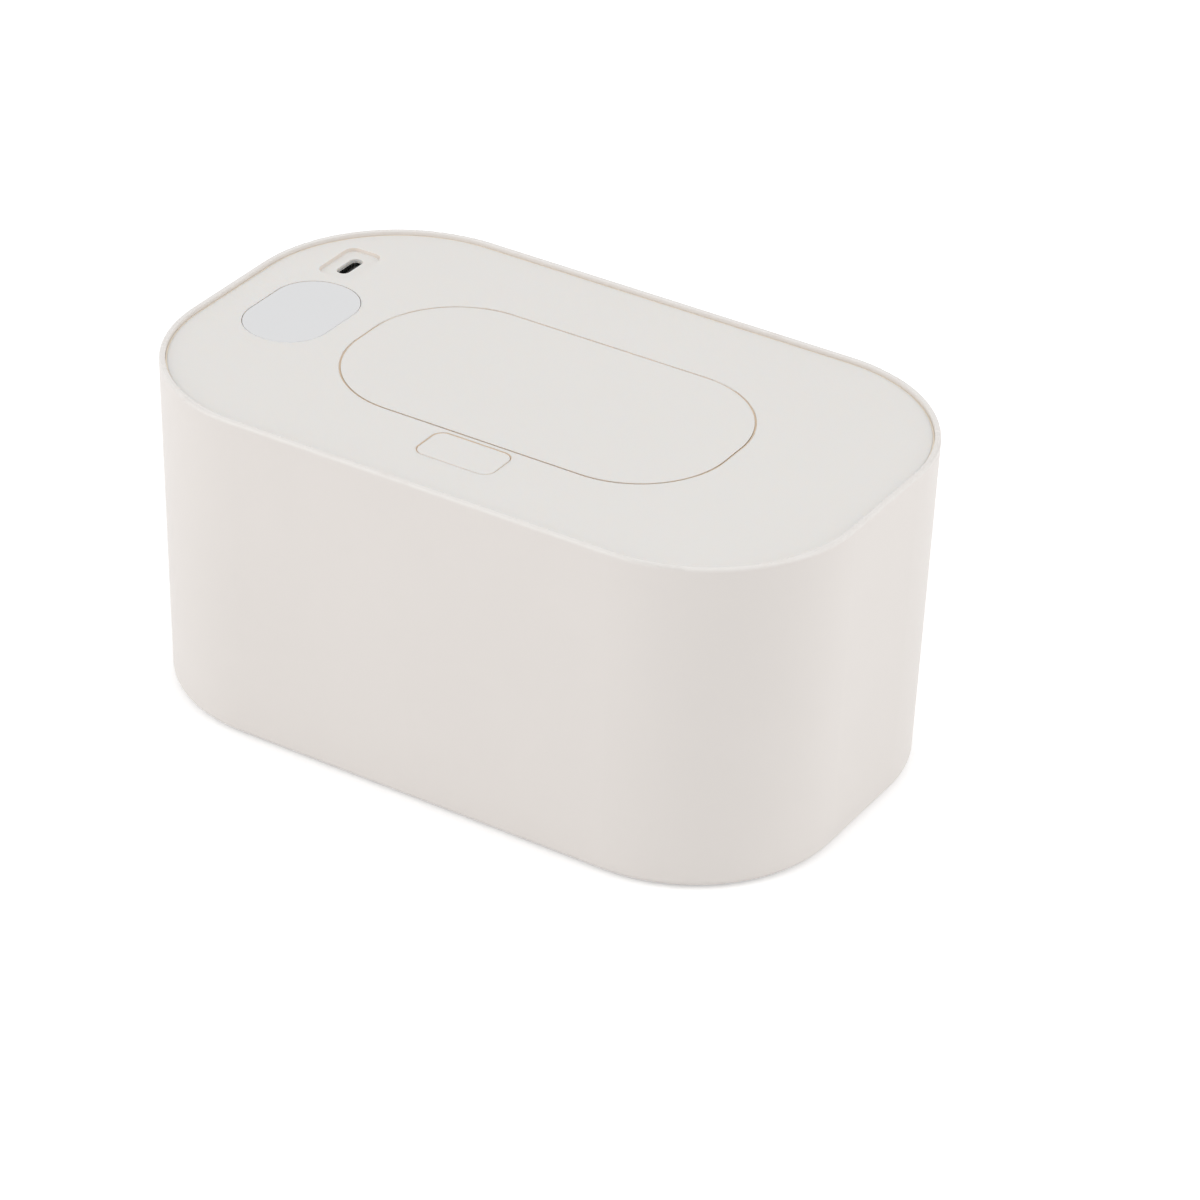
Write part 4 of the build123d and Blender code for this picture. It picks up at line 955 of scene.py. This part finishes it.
class WARMER_OT_springs(bpy.types.Operator):
    """Winds the latch spring and the two hinge springs from round wire"""

    bl_idname = "warmer.springs"
    bl_label = "Springs"

    def execute(self, context):
        sizes = context.scene.warmer_sizes
        thickness = sizes.wire_radius
        low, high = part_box("latch_spring")
        middle = (low + high) / 2
        height = high.z - low.z
        radius = (high.x - low.x) / 2 - thickness
        start = (middle.x + radius, middle.y, low.z + thickness)
        coil = self.coil("latch_coil", thickness, start, middle, "Z", 5, height - 2 * thickness)
        self.close_ends(coil)
        settle(coil, "latch_spring")
        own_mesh(coil)
        radius = 1.5 * MM
        end_gap = 0.3 * MM
        for side, name in ((-1, "hinge_spring_left"), (1, "hinge_spring_right")):
            pin_low, pin_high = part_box(name.replace("spring", "pin"))
            axis_y = (pin_low.y + pin_high.y) / 2
            axis_z = (pin_low.z + pin_high.z) / 2
            low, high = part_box(name)
            start_x = high.x - end_gap if side < 0 else low.x + end_gap
            length = high.x - low.x - 2 * end_gap
            start = (start_x, axis_y + radius, axis_z)
            centre = Vector((start_x, axis_y, axis_z))
            coil = self.coil(name + "_coil", thickness, start, centre, "X", side * 3.5, side * length)
            pick("DESELECT", "EDGE")
            bpy.ops.mesh.select_non_manifold()
            drop = low.z + thickness - axis_z
            bpy.ops.mesh.extrude_edges_move(TRANSFORM_OT_translate={"value": (0, 0, drop)})
            put_down()
            self.close_ends(coil)
            settle(coil, name)
        return {"FINISHED"}

    def coil(self, name, thickness, start, centre, axis, turns, rise):
        """Round wire wound about an axis through a centre, open at both ends."""
        put_down()
        across = {"Z": (math.pi / 2, 0, 0), "X": (0, 0, 0)}[axis]
        angle = turns * 2 * math.pi
        bpy.ops.mesh.primitive_circle_add(vertices=12, radius=thickness, location=start, rotation=across)
        coil = started(name)
        coil.data.transform(Matrix.Translation(-centre))
        steps = int(abs(angle) / math.radians(9))
        drawn = {"iterations": 1, "steps": steps, "render_steps": steps}
        apply_modifier(coil, "SCREW", axis=axis, angle=angle, screw_offset=rise, **drawn)
        coil.data.transform(Matrix.Translation(centre))
        tidy_mesh(coil)
        return coil

    def close_ends(self, coil):
        """Caps both ends of the wire and shades it."""
        take(coil)
        pick("SELECT")
        bpy.ops.mesh.fill_holes(sides=0)
        bpy.ops.mesh.select_all(action="SELECT")
        bpy.ops.mesh.normals_make_consistent(inside=False)
        put_down()
        smooth(coil, 45)


class WARMER_OT_socket(bpy.types.Operator):
    """Makes the socket's shell and its tongue with two rows of contacts"""

    bl_idname = "warmer.socket"
    bl_label = "Socket"

    def execute(self, context):
        sizes = context.scene.warmer_sizes
        thickness = 0.04 * MM
        soften("usb_socket", sizes.fine_edge, 3)
        soften("usb_tongue", sizes.fine_edge, 2)
        low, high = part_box("usb_tongue")
        middle = (low + high) / 2
        contacts = []
        length = 4.2 * MM
        tip = 0.3 * MM
        strip = block("contact", (0, 0, high.z - tip - length / 2), (thickness, sizes.contact_width, length))
        pick_faces(strip, facing(OVER))
        draw_out(z=tip)
        widen(0.5, 0.6)
        put_down()
        for face in (low.x, high.x):
            for index in range(12):
                place = (face, middle.y + (index - 5.5) * sizes.contact_pitch, 0)
                contacts.append(copied(strip, "contact_strip", place))
        bpy.data.objects.remove(strip)
        row = joined("socket_contacts", contacts)
        smooth(row, 30)
        trim(row, "usb_tongue", "socket_steel")
        return {"FINISHED"}


class WARMER_OT_board_parts(bpy.types.Operator):
    """Makes the controller chip with its legs, the power coil and the two capacitors"""

    bl_idname = "warmer.board_parts"
    bl_label = "Board parts"

    def execute(self, context):
        sizes = context.scene.warmer_sizes
        by_height = sorted(solid_boxes("board_parts"), key=lambda box: box[1].z - box[0].z)
        chip, coil, *round_ones = by_height
        body = self.moulding("chip_body", *chip, 0.45 * MM)
        coil_corner, dish_slope, dish_depth = 0.8 * MM, 0.15 * MM, 0.3 * MM
        core = self.moulding("coil_body", *coil, coil_corner)
        pick_faces(core, facing(OVER, coil[1].z))
        step_in(coil_corner)
        step_in(dish_slope, -dish_depth)
        put_down()
        smooth(core, 30)
        cans = [self.can(f"can_{index}", *box) for index, box in enumerate(round_ones)]
        black = joined("board_blocks", [body, core])
        settle(black, "board_parts")
        metal_parts = joined("board_cans", cans + self.legs(sizes, *chip))
        settle(metal_parts, "board_parts", "socket_steel")
        return {"FINISHED"}

    def moulding(self, name, low, high, corner):
        """A moulded block with rounded upright corners and softened top edges."""
        size = high - low
        piece = block(name, (low + high) / 2, size)
        pick_edges(piece, lambda a, b: abs(a.z - b.z) > size.z / 2)
        bevel_edges(corner, 5)
        put_down()
        round_edges(piece, 0.12 * MM, 2, 50)
        smooth(piece, 30)
        return piece

    def can(self, name, low, high):
        """A capacitor can with a crimped neck and a scored top."""
        radius = (high.x - low.x) / 2
        height = high.z - low.z
        middle = (low + high) / 2
        can = drum(name, 40, radius, low.z, low.z + 0.12 * height, middle.xy)
        pick_faces(can, facing(OVER))
        neck, shoulder = 0.9, 0.97
        for rise, share in (
            (0.05, neck), (0.05, 1.0), (0.05, 1 / neck), (0.65, 1.0), (0.05, shoulder), (0.03, 0.9)
        ):
            draw_out(z=rise * height)
            widen(share)
        step_in(0.1 * radius, -0.02 * height)
        put_down()
        smooth(can, 28)
        return can

    def legs(self, sizes, low, high):
        """Bent legs down the two long sides of the chip."""
        length, level, thickness = 0.5 * MM, low.z + 0.55 * MM, 0.14 * MM
        leg = block("leg", (length / 2, 0, level), (length, sizes.leg_width, thickness))
        pick_faces(leg, facing((1, 0, 0)))
        for away, down in ((0.3 * MM, 0.48 * MM), (0.35 * MM, 0.0)):
            draw_out(x=away, z=-down)
        put_down()
        smooth(leg, 30)
        pitch = 0.95 * MM
        root = 0.2 * MM
        middle = (low + high) / 2
        rows = [middle.y + (index - 2.5) * pitch for index in range(6)]
        found = [copied(leg, "chip_leg", (high.x - root, row, 0)) for row in rows]
        for vertex in leg.data.vertices:
            vertex.co.x = -vertex.co.x
        tidy_mesh(leg)
        found += [copied(leg, "chip_leg", (low.x + root, row, 0)) for row in rows]
        bpy.data.objects.remove(leg)
        return found


class WARMER_OT_seam_shade_strips(bpy.types.Operator):
    """Makes buff strips that close the seams of the lid, the flip lid and the button: painted seam shade,
    coloured as the shade in them
    """

    bl_idname = "warmer.seam_seals"
    bl_label = "Seam seals"

    def execute(self, context):
        sizes = context.scene.warmer_sizes
        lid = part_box("top_cover")
        panel = lid[1].z
        reach = sizes.lip_reach
        rim_level = panel - sizes.rim_depth
        self.ring("rim_seal", "rim_silicone", sizes, lid, sizes.lid_corner, rim_level, reach, sizes.lip_root)
        for name, packed_name, corner, depth in (
            ("flip_lid_seal", "flip_lid_shell", sizes.flip_corner, sizes.flip_depth),
            ("button_seal", "latch_button", sizes.button_corner, sizes.button_depth),
        ):
            cap = extent(
                point for point in nodes[packed_name].data.vertices if point.co.z > panel - sizes.lip_height
            )
            root = sizes.seam_gap + sizes.lip_root
            inset = reach - sizes.seam_gap
            self.ring(name, "seam_silicone", sizes, cap, corner, panel - depth, root, inset)
        return {"FINISHED"}

    def ring(self, name, finish, sizes, box, corner, level, outwards, inwards):
        """A rounded ring round the outline of a box, from a distance outside it to a distance inside it."""
        put_down()
        low, high = box
        middle = (low + high) / 2
        bpy.ops.mesh.primitive_plane_add(size=1, location=(middle.x, middle.y, level))
        bpy.context.object.scale = (high.x - low.x + 2 * outwards, high.y - low.y + 2 * outwards, 1)
        ring = started(name)
        pick("SELECT")
        bpy.ops.mesh.bevel(offset=corner + outwards, segments=40, affect="VERTICES")
        pick("SELECT", "FACE")
        step_in(outwards + inwards)
        bpy.ops.mesh.delete(type="FACE")
        bpy.ops.mesh.select_all(action="SELECT")
        draw_out(z=-sizes.lip_height)
        put_down()
        tidy_mesh(ring)
        round_edges(ring, 0.08 * MM, 2, 50)
        smooth(ring, 40)
        trim(ring, "top_cover", slot_of["lid_gasket"], finish)


class WARMER_OT_soft_edges(bpy.types.Operator):
    """Rounds the sharp edges of the moulded, cut and pressed inner parts"""

    bl_idname = "warmer.soft_edges"
    bl_label = "Soft edges"

    def execute(self, context):
        sizes = context.scene.warmer_sizes
        covers = ("flip_lid_liner", "latch_bracket", "hinge_cover_left", "hinge_cover_right")
        for name in (*covers, "insulation_pad"):
            soften(name, sizes.soft_edge)
        for name in ("lid_gasket", "flip_seal", "lead_grommet", "touch_pad_front", "touch_pad_rear"):
            soften(name, 1.6 * sizes.soft_edge, 4)
        pins = ("hinge_pin_left", "hinge_pin_right")
        for name in ("control_board", "display_module", "lead_connector", *pins):
            soften(name, sizes.soft_edge)
        for name in ("latch_slider", "thermal_fuse", "thermistor"):
            soften(name, sizes.fine_edge)
        return {"FINISHED"}


OPERATORS = (
    WARMER_OT_studio,
    WARMER_OT_finishes,
    WARMER_OT_feet,
    WARMER_OT_screws,
    WARMER_OT_springs,
    WARMER_OT_socket,
    WARMER_OT_board_parts,
    WARMER_OT_seam_shade_strips,
    WARMER_OT_soft_edges,
)


class WARMER_PT_sidebar(bpy.types.Panel):
    """Lists the steps that build the wipe warmer, and its sizes and colours"""

    bl_idname = "WARMER_PT_sidebar"
    bl_label = "Wipe warmer"
    bl_space_type = "VIEW_3D"
    bl_region_type = "UI"
    bl_category = "Wipe warmer"

    def draw(self, context):
        steps = self.layout.box()
        steps.label(text="Steps")
        for operator in OPERATORS:
            steps.operator(operator.bl_idname)
        for title, group in (
            ("Sizes", context.scene.warmer_sizes),
            ("Colours", context.scene.warmer_colours),
            ("Studio", context.scene.warmer_studio),
        ):
            box = self.layout.box()
            box.label(text=title)
            for name in group.__annotations__:
                box.prop(group, name)


CLASSES = (WarmerSizes, WarmerColours, WarmerStudio, *OPERATORS, WARMER_PT_sidebar)


def register():
    for each in CLASSES:
        bpy.utils.register_class(each)
    bpy.types.Scene.warmer_sizes = bpy.props.PointerProperty(type=WarmerSizes)
    bpy.types.Scene.warmer_colours = bpy.props.PointerProperty(type=WarmerColours)
    bpy.types.Scene.warmer_studio = bpy.props.PointerProperty(type=WarmerStudio)


def unregister():
    del bpy.types.Scene.warmer_studio
    del bpy.types.Scene.warmer_colours
    del bpy.types.Scene.warmer_sizes
    for each in reversed(CLASSES):
        bpy.utils.unregister_class(each)


def main():
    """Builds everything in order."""
    register()
    bpy.ops.warmer.studio()
    bpy.ops.warmer.finishes()
    bpy.ops.warmer.feet()
    bpy.ops.warmer.screws()
    bpy.ops.warmer.springs()
    bpy.ops.warmer.socket()
    bpy.ops.warmer.board_parts()
    bpy.ops.warmer.seam_seals()
    bpy.ops.warmer.soft_edges()
    put_down()


if __name__ == "__main__":
    main()
